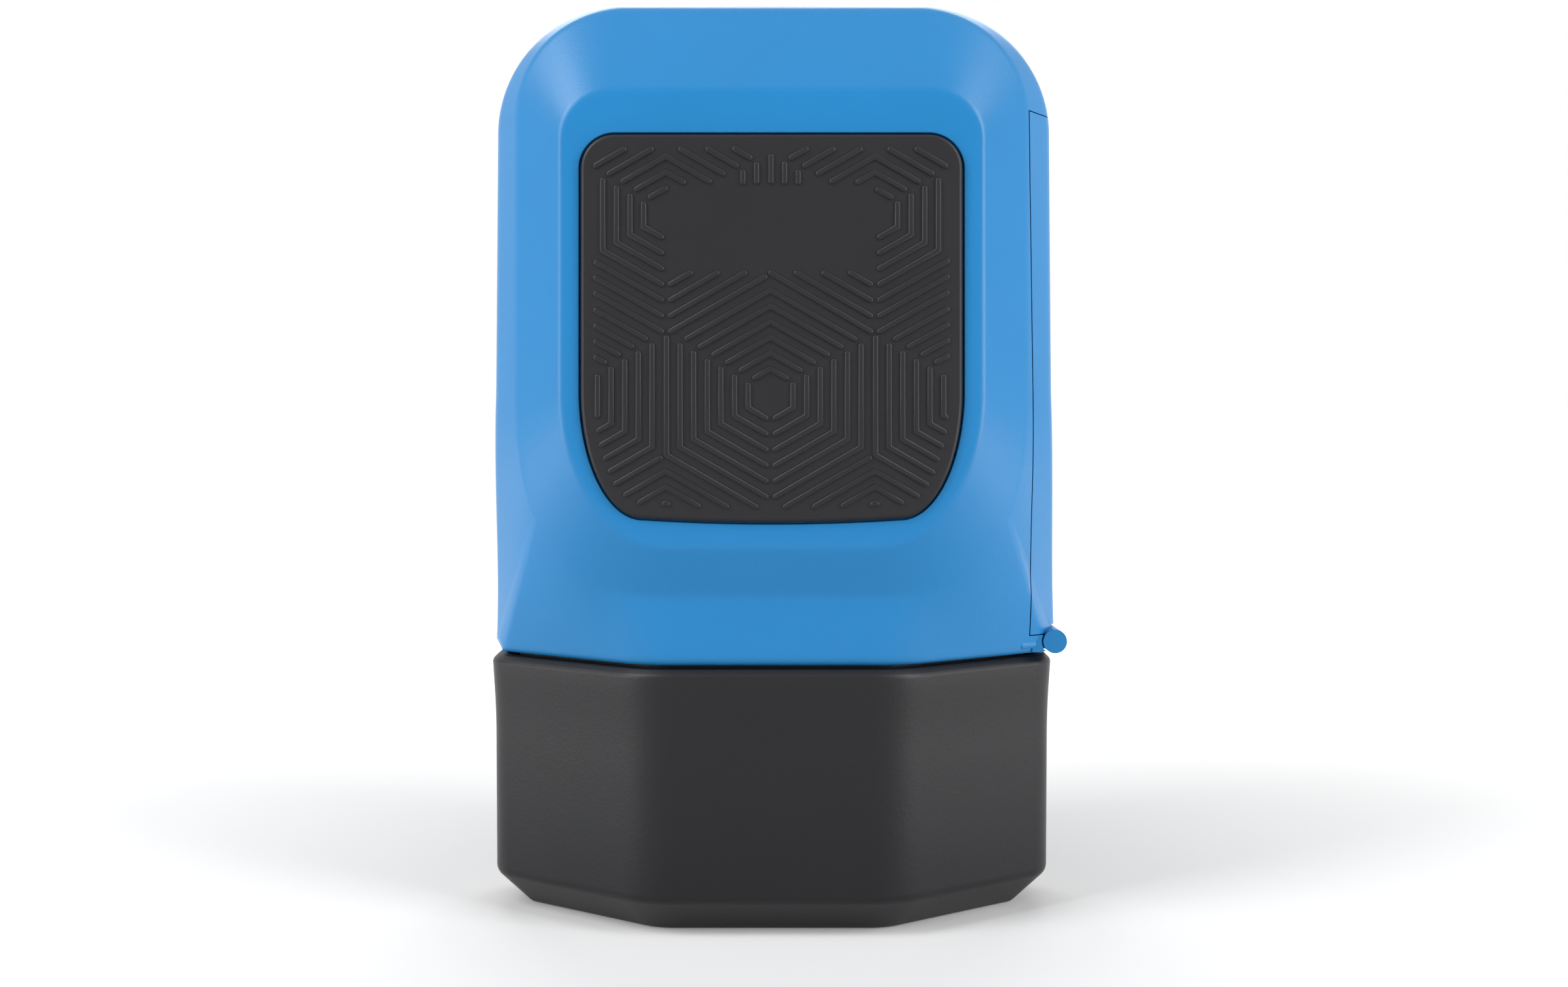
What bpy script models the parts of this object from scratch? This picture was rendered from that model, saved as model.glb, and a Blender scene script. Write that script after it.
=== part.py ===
# Privacy roller stamp: a masking roller in a blue housing, standing in its black cap.
# X is the width (door on +X), Y the depth (front at -Y), Z up.
# The origin is the centre of the cap's underside.

import math

import bmesh
import bpy
import numpy as np

MM = 0.001

# Clearances and cuts
SEAT_GAP = 0.3 * MM
RUNNING_CLEARANCE = 0.05 * MM
OVERRUN = 1.0 * MM

# Plan section shared by cap and housing: a soft octagon
BODY_HALF_WIDTH = 28.75 * MM
BODY_HALF_DEPTH = 16.5 * MM
FACET_WIDTH = 16.35 * MM
FACET_DEPTH_SHARE = 0.697
FRONT_FILLET = 9.0 * MM
FLANK_FILLET_SHARE = 0.8
LEAST_FILLET_SHARE = 0.25
FLAT_HALF_WIDTH = BODY_HALF_WIDTH - FACET_WIDTH
FACET_DEPTH = FACET_DEPTH_SHARE * BODY_HALF_DEPTH
FLANK_FILLET = FLANK_FILLET_SHARE * (BODY_HALF_DEPTH - FACET_DEPTH)
FACET_SLOPE = math.atan2(FACET_DEPTH, FACET_WIDTH)

# Where the front flat ends and its rounding to the facet begins
FLAT_END = FLAT_HALF_WIDTH - FRONT_FILLET * math.tan(0.5 * FACET_SLOPE)


def facet_room(x, inset):
    """The half depth left at x between the facets, once they are moved in by an inset."""
    return BODY_HALF_DEPTH - (x - FLAT_HALF_WIDTH) * math.tan(FACET_SLOPE) - inset / math.cos(FACET_SLOPE)


# Cap
CAP_CHAMFER = 3.6 * MM
CAP_RIM_CHAMFER = 0.65 * MM
CAP_FLARE = 0.35 * MM
CAP_FLARE_HEIGHT = 6.0 * MM
CAP_DRAFT = 0.1 * MM
CAP_WALL = 1.5 * MM
CAP_FLOOR = 1.8 * MM
CAP_FOOT_INSET = CAP_FLARE + CAP_DRAFT - SEAT_GAP

# Roller frame
FRAME_CAP_ROOM = 1.0 * MM
FRAME_WALL = 1.0 * MM
FRAME_DROP = 5.8 * MM
FRAME_RISE = 5.0 * MM
SKIRT_GAP = 0.6 * MM
BEARING_WALL = 3.55 * MM
WINDOW_MARGIN = 1.4 * MM
RIM_SETBACK = 0.4 * MM
DECK_THICKNESS = 2.0 * MM
GUIDE_WALL_THICKNESS = 1.2 * MM
GUIDE_WALL_HEIGHT = 28.0 * MM
GUIDE_WALL_SETBACK = 6.2 * MM
FRAME_INSET = CAP_WALL + FRAME_CAP_ROOM

# Places along the print roller's axis, from the bearing walls inwards
WASHER_THICKNESS = 0.5 * MM
WASHER_RADIUS = 4.5 * MM
BUSH_FLANGE_THICKNESS = 0.5 * MM
BUSH_FLANGE_RADIUS = 4.6 * MM
BUSH_RADIUS = 3.4 * MM
BUSH_LENGTH = 1.6 * MM
CLIP_THICKNESS = 0.35 * MM
CLIP_RADIUS = 3.2 * MM
CLIP_OPENING_DEGREES = 35.0
AXLE_END_REACH = 0.35 * MM
HUB_LENGTH = 2.3 * MM
RING_WIDTH = 1.2 * MM
BEARING_INNER_X = BODY_HALF_WIDTH - FRAME_INSET - BEARING_WALL
BUSH_INNER_X = BEARING_INNER_X - SEAT_GAP - BUSH_FLANGE_THICKNESS
BUSH_OUTER_X = BUSH_INNER_X + BUSH_LENGTH
CLIP_INNER_X = BUSH_OUTER_X + SEAT_GAP
AXLE_HALF_LENGTH = CLIP_INNER_X + CLIP_THICKNESS + AXLE_END_REACH
WASHER_INNER_X = BUSH_INNER_X - SEAT_GAP - WASHER_THICKNESS
HUB_HALF_LENGTH = WASHER_INNER_X - SEAT_GAP
CORE_HALF_LENGTH = HUB_HALF_LENGTH - HUB_LENGTH
RING_INNER_X = CORE_HALF_LENGTH - RING_WIDTH
SLEEVE_HALF_LENGTH = RING_INNER_X - SEAT_GAP

# Radii of the print roller, from the room that the cap's facets leave
ROLLER_SIDE_GAP = 0.392 * MM
ROLLER_FLOOR_GAP = 2.7 * MM
RING_PROUD = 0.2 * MM
SLEEVE_THICKNESS = 1.5 * MM
AXLE_RADIUS = 2.0 * MM
HUB_WALL = 2.15 * MM
RING_RADIUS = facet_room(CORE_HALF_LENGTH, CAP_FOOT_INSET + CAP_WALL) - ROLLER_SIDE_GAP
SLEEVE_RADIUS = RING_RADIUS - RING_PROUD
CORE_RADIUS = SLEEVE_RADIUS - SLEEVE_THICKNESS - SEAT_GAP
HUB_RADIUS = AXLE_RADIUS + RUNNING_CLEARANCE + HUB_WALL
ROLLER_AXIS_Z = CAP_FLOOR + ROLLER_FLOOR_GAP + RING_RADIUS

# Ink cartridge over the print roller, inside the housing's facets
BODY_WALL = 1.8 * MM
CASE_WALL = 1.2 * MM
CASE_END_GAP = 1.0 * MM
CASE_SIDE_GAP = 0.613 * MM
CASE_TOP_ROOM = 16.0 * MM
LID_HEIGHT = 1.5 * MM
INK_AXIS_GAP = 0.35 * MM
INK_AXIS_ABOVE_CASE = 2.35 * MM
INK_SIDE_GAP = 0.6 * MM
INK_CORE_SHARE = 0.2653
INK_CORE_END = 1.0 * MM
INK_AXLE_RADIUS = 1.5 * MM
INK_AXLE_REACH = 0.9 * MM
FELT_HEADROOM = 5.0 * MM
TAB_THICKNESS = 0.8 * MM
TAB_SETBACK = 2.2 * MM
TAB_TOP_MARGIN = 5.0 * MM
TAB_HEIGHT = 26.0 * MM
TAB_RIB = 1.2 * MM
TAB_RIBS = 3
INK_CORE_HALF_LENGTH = SLEEVE_HALF_LENGTH + INK_CORE_END
CASE_HALF_X = INK_CORE_HALF_LENGTH + CASE_END_GAP + CASE_WALL
CASE_HALF_Y = facet_room(CASE_HALF_X, BODY_WALL) - CASE_SIDE_GAP
INK_RADIUS = CASE_HALF_Y - CASE_WALL - INK_SIDE_GAP
INK_CORE_RADIUS = INK_AXLE_RADIUS + INK_CORE_SHARE * (INK_RADIUS - INK_AXLE_RADIUS)
INK_AXIS_Z = ROLLER_AXIS_Z + SLEEVE_RADIUS + INK_RADIUS + INK_AXIS_GAP
CASE_BOTTOM = INK_AXIS_Z - INK_AXIS_ABOVE_CASE
TAB_HALF_Y = CASE_HALF_Y - TAB_SETBACK

# Heights of the frame under the cartridge, then of the housing's foot and the cap's rim beside it
DECK_BELOW_FOOT = 0.37 * MM
DECK_TOP = CASE_BOTTOM - SEAT_GAP
DECK_BOTTOM = DECK_TOP - DECK_THICKNESS
FRAME_BOTTOM = ROLLER_AXIS_Z - FRAME_DROP
FRAME_TOP = DECK_TOP + FRAME_RISE
SKIRT_ROOM = facet_room(CORE_HALF_LENGTH, FRAME_INSET + FRAME_WALL) - SKIRT_GAP
SKIRT_BOTTOM = ROLLER_AXIS_Z + math.sqrt(RING_RADIUS ** 2 - SKIRT_ROOM ** 2)
GUIDE_WALL_TOP = DECK_TOP + GUIDE_WALL_HEIGHT
GUIDE_WALL_HALF_X = CASE_HALF_X - GUIDE_WALL_SETBACK
RIM_HALF_X = FLAT_HALF_WIDTH - RIM_SETBACK
WINDOW_HALF_X = SLEEVE_HALF_LENGTH + WINDOW_MARGIN
WINDOW_HALF_Y = INK_RADIUS + INK_SIDE_GAP
BODY_BOTTOM = DECK_BOTTOM + DECK_BELOW_FOOT
CAP_HEIGHT = BODY_BOTTOM - SEAT_GAP

# Housing
BODY_HEIGHT = 64.63 * MM
OUTLINE_LEAN = 0.95 * MM
OUTLINE_TOP_LEAN = 1.15 * MM
OUTLINE_TOP_RADIUS = 12.4 * MM
OUTLINE_FOOT_RADIUS = 1.0 * MM
INNER_FOOT_RADIUS = 0.3 * MM
OUTLINE_SIDE_DEPTH = 7.0 * MM
OUTLINE_TOP_DEPTH = 3.8 * MM
FLANK_CROWN = 0.25 * MM
DOOR_SIDE_PROUD = 0.4 * MM
DOOR_SIDE_FLARE = 0.4 * MM
BODY_TOP = BODY_BOTTOM + BODY_HEIGHT
OUTLINE_HALF_WIDTH = BODY_HALF_WIDTH - OUTLINE_LEAN
OUTLINE_TOP_HALF_WIDTH = BODY_HALF_WIDTH - OUTLINE_TOP_LEAN

# Raised grip field with its bevelled border, front and rear
SIDE_BEVEL_WIDTH = 2.8 * MM
FOOT_BEVEL_HEIGHT = 6.73 * MM
TOP_BEVEL_HEIGHT = 0.5 * MM
SIDE_BAND_WIDTH = 4.8 * MM
FOOT_BAND_HEIGHT = 4.8 * MM
TOP_BAND_HEIGHT = 8.9 * MM
FIELD_PROUD = 2.0 * MM
FIELD_TOP_RADIUS = 4.8 * MM
FIELD_CORNER_WIDTH = 10.1 * MM
CORNER_HEIGHT = 15.0 * MM
FIELD_WALL_SHARE = 0.4
RIDGE_WALL_SHARE = 0.64
EDGE_WALL_SHARE = 0.3
RIDGE_TOP_RADIUS = 10.6 * MM
RIDGE_SIDE_DEPTH = 2.5 * MM
RIDGE_TOP_DEPTH = 3.0 * MM
RIDGE_CORNER_POWER = 2.5
RIDGE_HALF_WIDTH = OUTLINE_HALF_WIDTH - SIDE_BEVEL_WIDTH
RIDGE_BOTTOM = BODY_BOTTOM + FOOT_BEVEL_HEIGHT
RIDGE_TOP = BODY_TOP - TOP_BEVEL_HEIGHT
FIELD_HALF_WIDTH = RIDGE_HALF_WIDTH - SIDE_BAND_WIDTH
FIELD_FOOT_HALF_WIDTH = FIELD_HALF_WIDTH - FIELD_CORNER_WIDTH
FIELD_BOTTOM = RIDGE_BOTTOM + FOOT_BAND_HEIGHT
FIELD_TOP = RIDGE_TOP - TOP_BAND_HEIGHT
CORNER_START = FIELD_BOTTOM + CORNER_HEIGHT

# Grip pads
PAD_SIDE_MARGIN = 2.05 * MM
PAD_TOP_MARGIN = 4.3 * MM
PAD_FOOT_MARGIN = 2.9 * MM
PAD_BOTTOM_BOW = 0.4 * MM
PAD_TOP_RADIUS = 3.2 * MM
PAD_CORNER_WIDTH = 5.85 * MM
PAD_PROUD = 0.5 * MM
PAD_EDGE_ROUND = 0.4 * MM
POCKET_DEPTH = 1.0 * MM
POCKET_CLEARANCE = 0.2 * MM
PAD_HALF_WIDTH = FIELD_HALF_WIDTH - PAD_SIDE_MARGIN
PAD_FOOT_HALF_WIDTH = PAD_HALF_WIDTH - PAD_CORNER_WIDTH
PAD_TOP = FIELD_TOP - PAD_TOP_MARGIN
PAD_BOTTOM = FIELD_BOTTOM + PAD_FOOT_MARGIN

# Side door on the right flank, hinged at its lower edge
DOOR_TOP_WIDTH = 2.4 * MM
DOOR_FOOT_WIDTH = 2.65 * MM
DOOR_TOP_MARGIN = 10.4 * MM
DOOR_FOOT_MARGIN = 1.93 * MM
DOOR_GAP = 0.3 * MM
HINGE_OUTSTAND = 0.15 * MM
HINGE_ABOVE_FOOT = 1.28 * MM
HINGE_END_ROOM = 9.3 * MM
HINGE_RADIUS = 1.2 * MM
HINGE_PIN_RADIUS = 0.5 * MM
HINGE_PIN_CLEARANCE = 0.05 * MM
HINGE_LEAF_HEIGHT = 1.4 * MM
HINGE_RELIEF = 0.3 * MM
KNUCKLE_LENGTH = 3.3 * MM
SILL_STEP = 0.2 * MM
LATCH_HALF_WIDTH = 3.0 * MM
LATCH_HEIGHT = 0.8 * MM
LATCH_REACH = 1.0 * MM
DOOR_EDGE_TOP_X = OUTLINE_TOP_HALF_WIDTH - DOOR_TOP_WIDTH
DOOR_EDGE_BOTTOM_X = BODY_HALF_WIDTH - DOOR_FOOT_WIDTH
DOOR_TOP = BODY_TOP - DOOR_TOP_MARGIN
DOOR_BOTTOM = BODY_BOTTOM + DOOR_FOOT_MARGIN
HINGE_X = BODY_HALF_WIDTH + HINGE_OUTSTAND
HINGE_Z = BODY_BOTTOM + HINGE_ABOVE_FOOT
HINGE_HALF_LENGTH = BODY_HALF_DEPTH - HINGE_END_ROOM
HINGE_LUG_HALF_LENGTH = HINGE_HALF_LENGTH - KNUCKLE_LENGTH - DOOR_GAP
SILL_INNER_X = BODY_HALF_WIDTH - FRAME_INSET + SEAT_GAP

# Heights of the cartridge under the roof
CASE_TOP = BODY_TOP - CASE_TOP_ROOM
FELT_TOP = CASE_TOP - FELT_HEADROOM
TAB_TOP = CASE_TOP - TAB_TOP_MARGIN
TAB_BOTTOM = TAB_TOP - TAB_HEIGHT

# Spring and guide under the roof
SPRING_THICKNESS = 0.4 * MM
SPRING_END_ROOM = 5.2 * MM
SPRING_SIDE_ROOM = 4.2 * MM
SPRING_RISE = 2.6 * MM
GUIDE_END_ROOM = 3.2 * MM
GUIDE_CHEEK = 1.2 * MM
GUIDE_CHEEK_DROP = 5.5 * MM
GUIDE_PLATE = 1.5 * MM
GUIDE_POST_HALF_X = 2.0 * MM
SPRING_HALF_LENGTH = CASE_HALF_X - SPRING_END_ROOM
SPRING_HALF_WIDTH = CASE_HALF_Y - SPRING_SIDE_ROOM
SPRING_BASE = CASE_TOP + SEAT_GAP + LID_HEIGHT + SEAT_GAP
GUIDE_HALF_X = CASE_HALF_X - GUIDE_END_ROOM

# Counts
ROUND_SIDES = 48
SMALL_SIDES = 24
PIN_SIDES = 16
FILLET_STEPS = 5
PAD_ROUND_STEPS = 3
SPRING_STEPS = 16
LOOP_COUNTS = (3, 9, 7, 5, 8, 3)
SMOOTH_DEGREES = 30.0


def clear_scene():
    for item in list(bpy.data.objects):
        bpy.data.objects.remove(item, do_unlink=True)


def make_material(name, colour, roughness, metallic=0.0):
    material = bpy.data.materials.new(name)
    material.use_nodes = True
    shader = material.node_tree.nodes["Principled BSDF"]
    shader.inputs["Base Color"].default_value = (*colour, 1.0)
    shader.inputs["Roughness"].default_value = roughness
    shader.inputs["Metallic"].default_value = metallic
    return material


def add_object(name, points, faces, material=None, origin=(0.0, 0.0, 0.0), smooth=False):
    """A closed mesh from world points, with its object origin at the given world place."""
    mesh = bpy.data.meshes.new(name)
    local = [tuple(p[i] - origin[i] for i in range(3)) for p in points]
    mesh.from_pydata(local, [], [tuple(int(i) for i in face) for face in faces])
    model = bmesh.new()
    model.from_mesh(mesh)
    bmesh.ops.recalc_face_normals(model, faces=model.faces)
    model.to_mesh(mesh)
    model.free()
    if smooth:
        mesh.shade_smooth()
        mesh.set_sharp_from_angle(angle=math.radians(SMOOTH_DEGREES))
    if material is not None:
        mesh.materials.append(material)
    item = bpy.data.objects.new(name, mesh)
    item.location = origin
    bpy.context.scene.collection.objects.link(item)
    return item


def make_cutter(item):
    item.hide_render = True
    item.display_type = "WIRE"
    return item


def boolean(item, other, operation):
    step = item.modifiers.new(other.name, "BOOLEAN")
    step.operation = operation
    step.solver = "EXACT"
    step.object = make_cutter(other)


def box_points(low, high):
    points = [(x, y, z) for x in (low[0], high[0]) for y in (low[1], high[1]) for z in (low[2], high[2])]
    faces = [(0, 1, 3, 2), (4, 6, 7, 5), (0, 4, 5, 1), (2, 3, 7, 6), (0, 2, 6, 4), (1, 5, 7, 3)]
    return points, faces


def add_box(name, low, high, material=None, origin=(0.0, 0.0, 0.0)):
    points, faces = box_points(low, high)
    return add_object(name, points, faces, material, origin)


def loft(rings, close_start=True, close_end=True):
    """Points and quads through closed rings of equal count; the first and last ring may be capped."""
    count = len(rings[0])
    points = [tuple(p) for ring in rings for p in ring]
    faces = []
    for level in range(len(rings) - 1):
        for i in range(count):
            j = (i + 1) % count
            faces.append((level * count + i, level * count + j,
                          (level + 1) * count + j, (level + 1) * count + i))
    if close_start:
        faces.append(tuple(range(count - 1, -1, -1)))
    if close_end:
        start = (len(rings) - 1) * count
        faces.append(tuple(range(start, start + count)))
    return points, faces


def turned(name, profile, axis_z, material, along="X", axis_x=0.0, sides=ROUND_SIDES):
    """A closed profile of (distance along the axis, radius) turned about a horizontal axis."""
    rings = []
    for step in range(sides):
        angle = 2.0 * math.pi * step / sides
        ring = []
        for distance, radius in profile:
            across = radius * math.cos(angle)
            up = axis_z + radius * math.sin(angle)
            if along == "X":
                ring.append((distance, across, up))
            else:
                ring.append((axis_x + across, distance, up))
        rings.append(ring)
    count = len(profile)
    points = [p for ring in rings for p in ring]
    faces = []
    for step in range(sides):
        after = (step + 1) % sides
        for i in range(count):
            j = (i + 1) % count
            faces.append((step * count + i, step * count + j, after * count + j, after * count + i))
    origin = (axis_x, 0.0, axis_z)
    return add_object(name, points, faces, material, origin, smooth=True)


def rod(name, start, end, radius, axis_z, material=None, along="X", axis_x=0.0, sides=ROUND_SIDES):
    """A plain closed cylinder along X or Y."""
    rings = []
    for distance in (start, end):
        ring = []
        for step in range(sides):
            angle = 2.0 * math.pi * step / sides
            across = radius * math.cos(angle)
            up = axis_z + radius * math.sin(angle)
            ring.append((distance, across, up) if along == "X" else (axis_x + across, distance, up))
        rings.append(ring)
    points, faces = loft(rings)
    return add_object(name, points, faces, material, (axis_x, 0.0, axis_z), smooth=True)


def tube(name, start, end, outer, inner, axis_z, material, sides=ROUND_SIDES):
    profile = [(start, inner), (start, outer), (end, outer), (end, inner)]
    return turned(name, profile, axis_z, material, sides=sides)


def fillet(before, corner, after, radius, steps):
    """Points of the arc that rounds a corner of a plane outline."""
    a = np.subtract(before, corner)
    b = np.subtract(after, corner)
    a = a / np.linalg.norm(a)
    b = b / np.linalg.norm(b)
    half = 0.5 * math.acos(float(np.clip(a @ b, -1.0, 1.0)))
    reach = radius / math.tan(half)
    centre = np.asarray(corner) + (a + b) / np.linalg.norm(a + b) * radius / math.sin(half)
    first = np.asarray(corner) + a * reach - centre
    last = np.asarray(corner) + b * reach - centre
    sweep = math.pi - 2.0 * half
    points = []
    for step in range(steps + 1):
        share = step / steps
        mix = (math.sin((1.0 - share) * sweep) * first + math.sin(share * sweep) * last) / math.sin(sweep)
        points.append(tuple(centre + mix))
    return points


def quarter_section(inset):
    """The plan octagon from the front centre round to the flank's middle, as (x, depth) points.

    Depth is measured back from the body's front flat. Inset moves every side inwards.
    """
    slope = FACET_SLOPE
    flank = BODY_HALF_WIDTH - inset
    first = (FLAT_HALF_WIDTH - inset * math.tan(0.5 * slope), inset)
    second = (flank, FACET_DEPTH + inset * math.tan(0.5 * (0.5 * math.pi - slope)))
    middle = (flank, BODY_HALF_DEPTH)
    start = (0.0, inset)
    small = max(FLANK_FILLET - inset, FLANK_FILLET * LEAST_FILLET_SHARE)
    front = fillet(start, first, second, FRONT_FILLET - inset, FILLET_STEPS)
    side = fillet(first, second, middle, small, FILLET_STEPS)
    return [start] + front + side + [middle]


def full_section(inset, z):
    """The whole plan outline at a height, as a ring of world points."""
    quarter = quarter_section(inset)
    right = [(x, -BODY_HALF_DEPTH + d) for x, d in quarter]
    back = [(x, -y) for x, y in reversed(right[:-1])]
    half = right + back
    left = [(-x, y) for x, y in reversed(half[1:-1])]
    return [(x, y, z) for x, y in half + left]


def ease(share):
    """A smooth step from 0 to 1."""
    share = min(max(share, 0.0), 1.0)
    return share * share * (3.0 - 2.0 * share)


def spaced(start, end, count):
    """Points from start towards end, without the end."""
    start = np.asarray(start, dtype=float)
    end = np.asarray(end, dtype=float)
    return [tuple(start + (end - start) * i / count) for i in range(count)]


def corner_curve(centre, width, height, power, count, first, last):
    """Points of a superellipse quarter below and right of its centre, without the last; angles in degrees."""
    points = []
    for i in range(count):
        angle = math.radians(first + (last - first) * i / count)
        x = centre[0] + width * math.sin(angle) ** (2.0 / power)
        z = centre[1] - height * math.cos(angle) ** (2.0 / power)
        points.append((x, z))
    return points


def top_curve(centre, radius, count):
    points = []
    for i in range(count):
        angle = 0.5 * math.pi * i / count
        points.append((centre[0] + radius * math.cos(angle), centre[1] + radius * math.sin(angle)))
    return points


def half_loop(foot, side, bottom, top, radius, power, counts=LOOP_COUNTS):
    """Right half of a rounded outline in (x, z), bottom centre to top centre."""
    middle = 90.0 * counts[1] / (counts[1] + counts[2])
    centre = (foot, CORNER_START)
    width = side - foot
    height = CORNER_START - bottom
    points = spaced((0.0, bottom), (foot, bottom), counts[0])
    points += corner_curve(centre, width, height, power, counts[1], 0.0, middle)
    points += corner_curve(centre, width, height, power, counts[2], middle, 90.0)
    points += spaced((side, CORNER_START), (side, top - radius), counts[3])
    points += top_curve((side - radius, top - radius), radius, counts[4])
    points += spaced((side - radius, top), (0.0, top), counts[5])
    return points + [(0.0, top)]


def outline_loop(inset=0.0, foot_z=BODY_BOTTOM, foot_radius=OUTLINE_FOOT_RADIUS, counts=LOOP_COUNTS):
    """Right half of the housing's edge as (x, z, depth): along the foot, up the flank, over the roof.

    An inset moves it in by a wall; the bevel's slope takes up most of that in depth.
    """
    quarter = quarter_section(inset)[:-1]
    along = [p[0] for p in quarter]
    depths = [p[1] for p in quarter]
    half = BODY_HALF_WIDTH - inset
    corner = half - foot_radius
    points = [(x, foot_z, inset) for x, _ in spaced((0.0, 0.0), (FLAT_END, 0.0), counts[0])]
    for x, _ in spaced((FLAT_END, 0.0), (corner, 0.0), counts[1]):
        points.append((x, foot_z, float(np.interp(x, along, depths))))
    points.append((corner, foot_z, float(np.interp(corner, along, depths))))
    side_depth = OUTLINE_SIDE_DEPTH + EDGE_WALL_SHARE * inset
    side_x = OUTLINE_HALF_WIDTH - inset
    top_x = OUTLINE_TOP_HALF_WIDTH - inset
    low_z = BODY_BOTTOM + foot_radius
    rise = counts[2] - 1
    for i in range(rise):
        share = i / rise
        points.append((half + (side_x - half) * share, low_z + (CORNER_START - low_z) * share,
                       depths[-1] + (side_depth - depths[-1]) * ease(share)))
    shoulder = BODY_TOP - OUTLINE_TOP_RADIUS
    for i in range(counts[3]):
        share = i / counts[3]
        points.append((side_x + (top_x - side_x) * share, CORNER_START + (shoulder - CORNER_START) * share,
                       side_depth))
    radius = OUTLINE_TOP_RADIUS - inset
    centre = (top_x - radius, shoulder)
    top_depth = OUTLINE_TOP_DEPTH + EDGE_WALL_SHARE * inset
    for i, (x, z) in enumerate(top_curve(centre, radius, counts[4])):
        points.append((x, z, side_depth + (top_depth - side_depth) * i / counts[4]))
    top = shoulder + radius
    points += [(x, z, top_depth) for x, z in spaced((centre[0], top), (0.0, top), counts[5])]
    return points + [(0.0, top, top_depth)]


def ridge_loop(inset=0.0, counts=LOOP_COUNTS):
    """Right half of the bevel's outer edge as (x, z, depth); an inset moves it in by a wall."""
    flat = half_loop(FLAT_END, RIDGE_HALF_WIDTH, RIDGE_BOTTOM, RIDGE_TOP,
                     RIDGE_TOP_RADIUS, RIDGE_CORNER_POWER, counts)
    points = []
    corner = counts[1] + counts[2]
    shoulder = counts[0] + corner + counts[3]
    narrow = 1.0 - inset * RIDGE_WALL_SHARE / RIDGE_HALF_WIDTH
    for i, (x, z) in enumerate(flat):
        low = ease((i - counts[0]) / corner)
        high = min(max((i - shoulder) / counts[4], 0.0), 1.0)
        depth = RIDGE_SIDE_DEPTH * low + (RIDGE_TOP_DEPTH - RIDGE_SIDE_DEPTH) * high
        depth += inset * (1.0 + (RIDGE_WALL_SHARE - 1.0) * low)
        points.append((x * narrow, min(z, RIDGE_TOP - inset), depth))
    return points


def whole_loop(half):
    """A closed ring from its right half, as (x, z, depth)."""
    return half + [(-x, z, d) for x, z, d in reversed(half[1:-1])]


def front_ring(half, side):
    """World points of a ring; side -1 is the front and 1 the rear."""
    return world_ring(whole_loop(half), side)


def world_ring(loop, side):
    return [(x, side * (BODY_HALF_DEPTH - d), z) for x, z, d in loop]


def proud_loop(loop):
    """A closed ring with its right flank, the door's side, moved out a little, more towards the foot."""
    points = []
    for x, z, d in loop:
        reach = min(max(x / OUTLINE_HALF_WIDTH, 0.0), 1.0)
        low = ease((CORNER_START - z) / (CORNER_START - BODY_BOTTOM))
        points.append((x + reach * (DOOR_SIDE_PROUD + DOOR_SIDE_FLARE * low), z, d))
    return points


def crowned_loop(loop):
    """The ring in the middle plane: both flanks fuller by the crown, the foot's edge left as it is."""
    points = []
    for x, z, _ in loop:
        push = FLANK_CROWN if z > BODY_BOTTOM else 0.0
        points.append((x + push * min(max(x / OUTLINE_HALF_WIDTH, -1.0), 1.0), z, BODY_HALF_DEPTH))
    return points


def housing_solid(name, material=None):
    """The housing's outer form as one closed solid, front field to rear field through the middle plane."""
    field = [(x, z, -FIELD_PROUD) for x, z in half_loop(
        FIELD_FOOT_HALF_WIDTH, FIELD_HALF_WIDTH, FIELD_BOTTOM, FIELD_TOP, FIELD_TOP_RADIUS, 2.0)]
    field = whole_loop(field)
    ridge = whole_loop(ridge_loop())
    edge = proud_loop(whole_loop(outline_loop()))
    between = [tuple(0.5 * (a + b) for a, b in zip(p, q)) for p, q in zip(ridge, edge)]
    rings = [world_ring(loop, -1) for loop in (field, ridge, between, edge, crowned_loop(edge))]
    rings += [world_ring(loop, 1) for loop in (edge, between, ridge, field)]
    points, faces = loft(rings)
    return add_object(name, points, faces, material, smooth=True)


def inner_solid(name):
    """The room inside the housing: the same form moved inwards by the wall, open below."""
    wall = BODY_WALL
    narrow = FIELD_WALL_SHARE * wall
    field = [(x, z, wall - FIELD_PROUD) for x, z in half_loop(
        FIELD_FOOT_HALF_WIDTH, FIELD_HALF_WIDTH - narrow, FIELD_BOTTOM + narrow,
        FIELD_TOP - narrow, FIELD_TOP_RADIUS, 2.0)]
    ridge = ridge_loop(wall)
    edge = outline_loop(wall, BODY_BOTTOM - OVERRUN, INNER_FOOT_RADIUS)
    middle = [(x, z, BODY_HALF_DEPTH) for x, z, _ in edge]
    rings = [front_ring(half, -1) for half in (field, ridge, edge, middle)]
    rings += [front_ring(half, 1) for half in (edge, ridge, field)]
    points, faces = loft(rings)
    return add_object(name, points, faces)


def pad_loop(grow):
    """Right half of the pad's outline, grown by a clearance."""
    half = half_loop(PAD_FOOT_HALF_WIDTH, PAD_HALF_WIDTH + grow, PAD_BOTTOM - grow, PAD_TOP + grow,
                     PAD_TOP_RADIUS + grow, 2.0)
    points = []
    for x, z in half:
        bow = PAD_BOTTOM_BOW * max(0.0, 1.0 - (x / PAD_FOOT_HALF_WIDTH) ** 2)
        points.append((x, z - bow if z < CORNER_START else z))
    return points


def pad_rings(side, levels):
    """Rings of a pad-shaped plate: each level is (outward place, grow)."""
    rings = []
    for outward, grow in levels:
        half = [(x, z, -outward) for x, z in pad_loop(grow)]
        rings.append(front_ring(half, side))
    return rings


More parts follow.
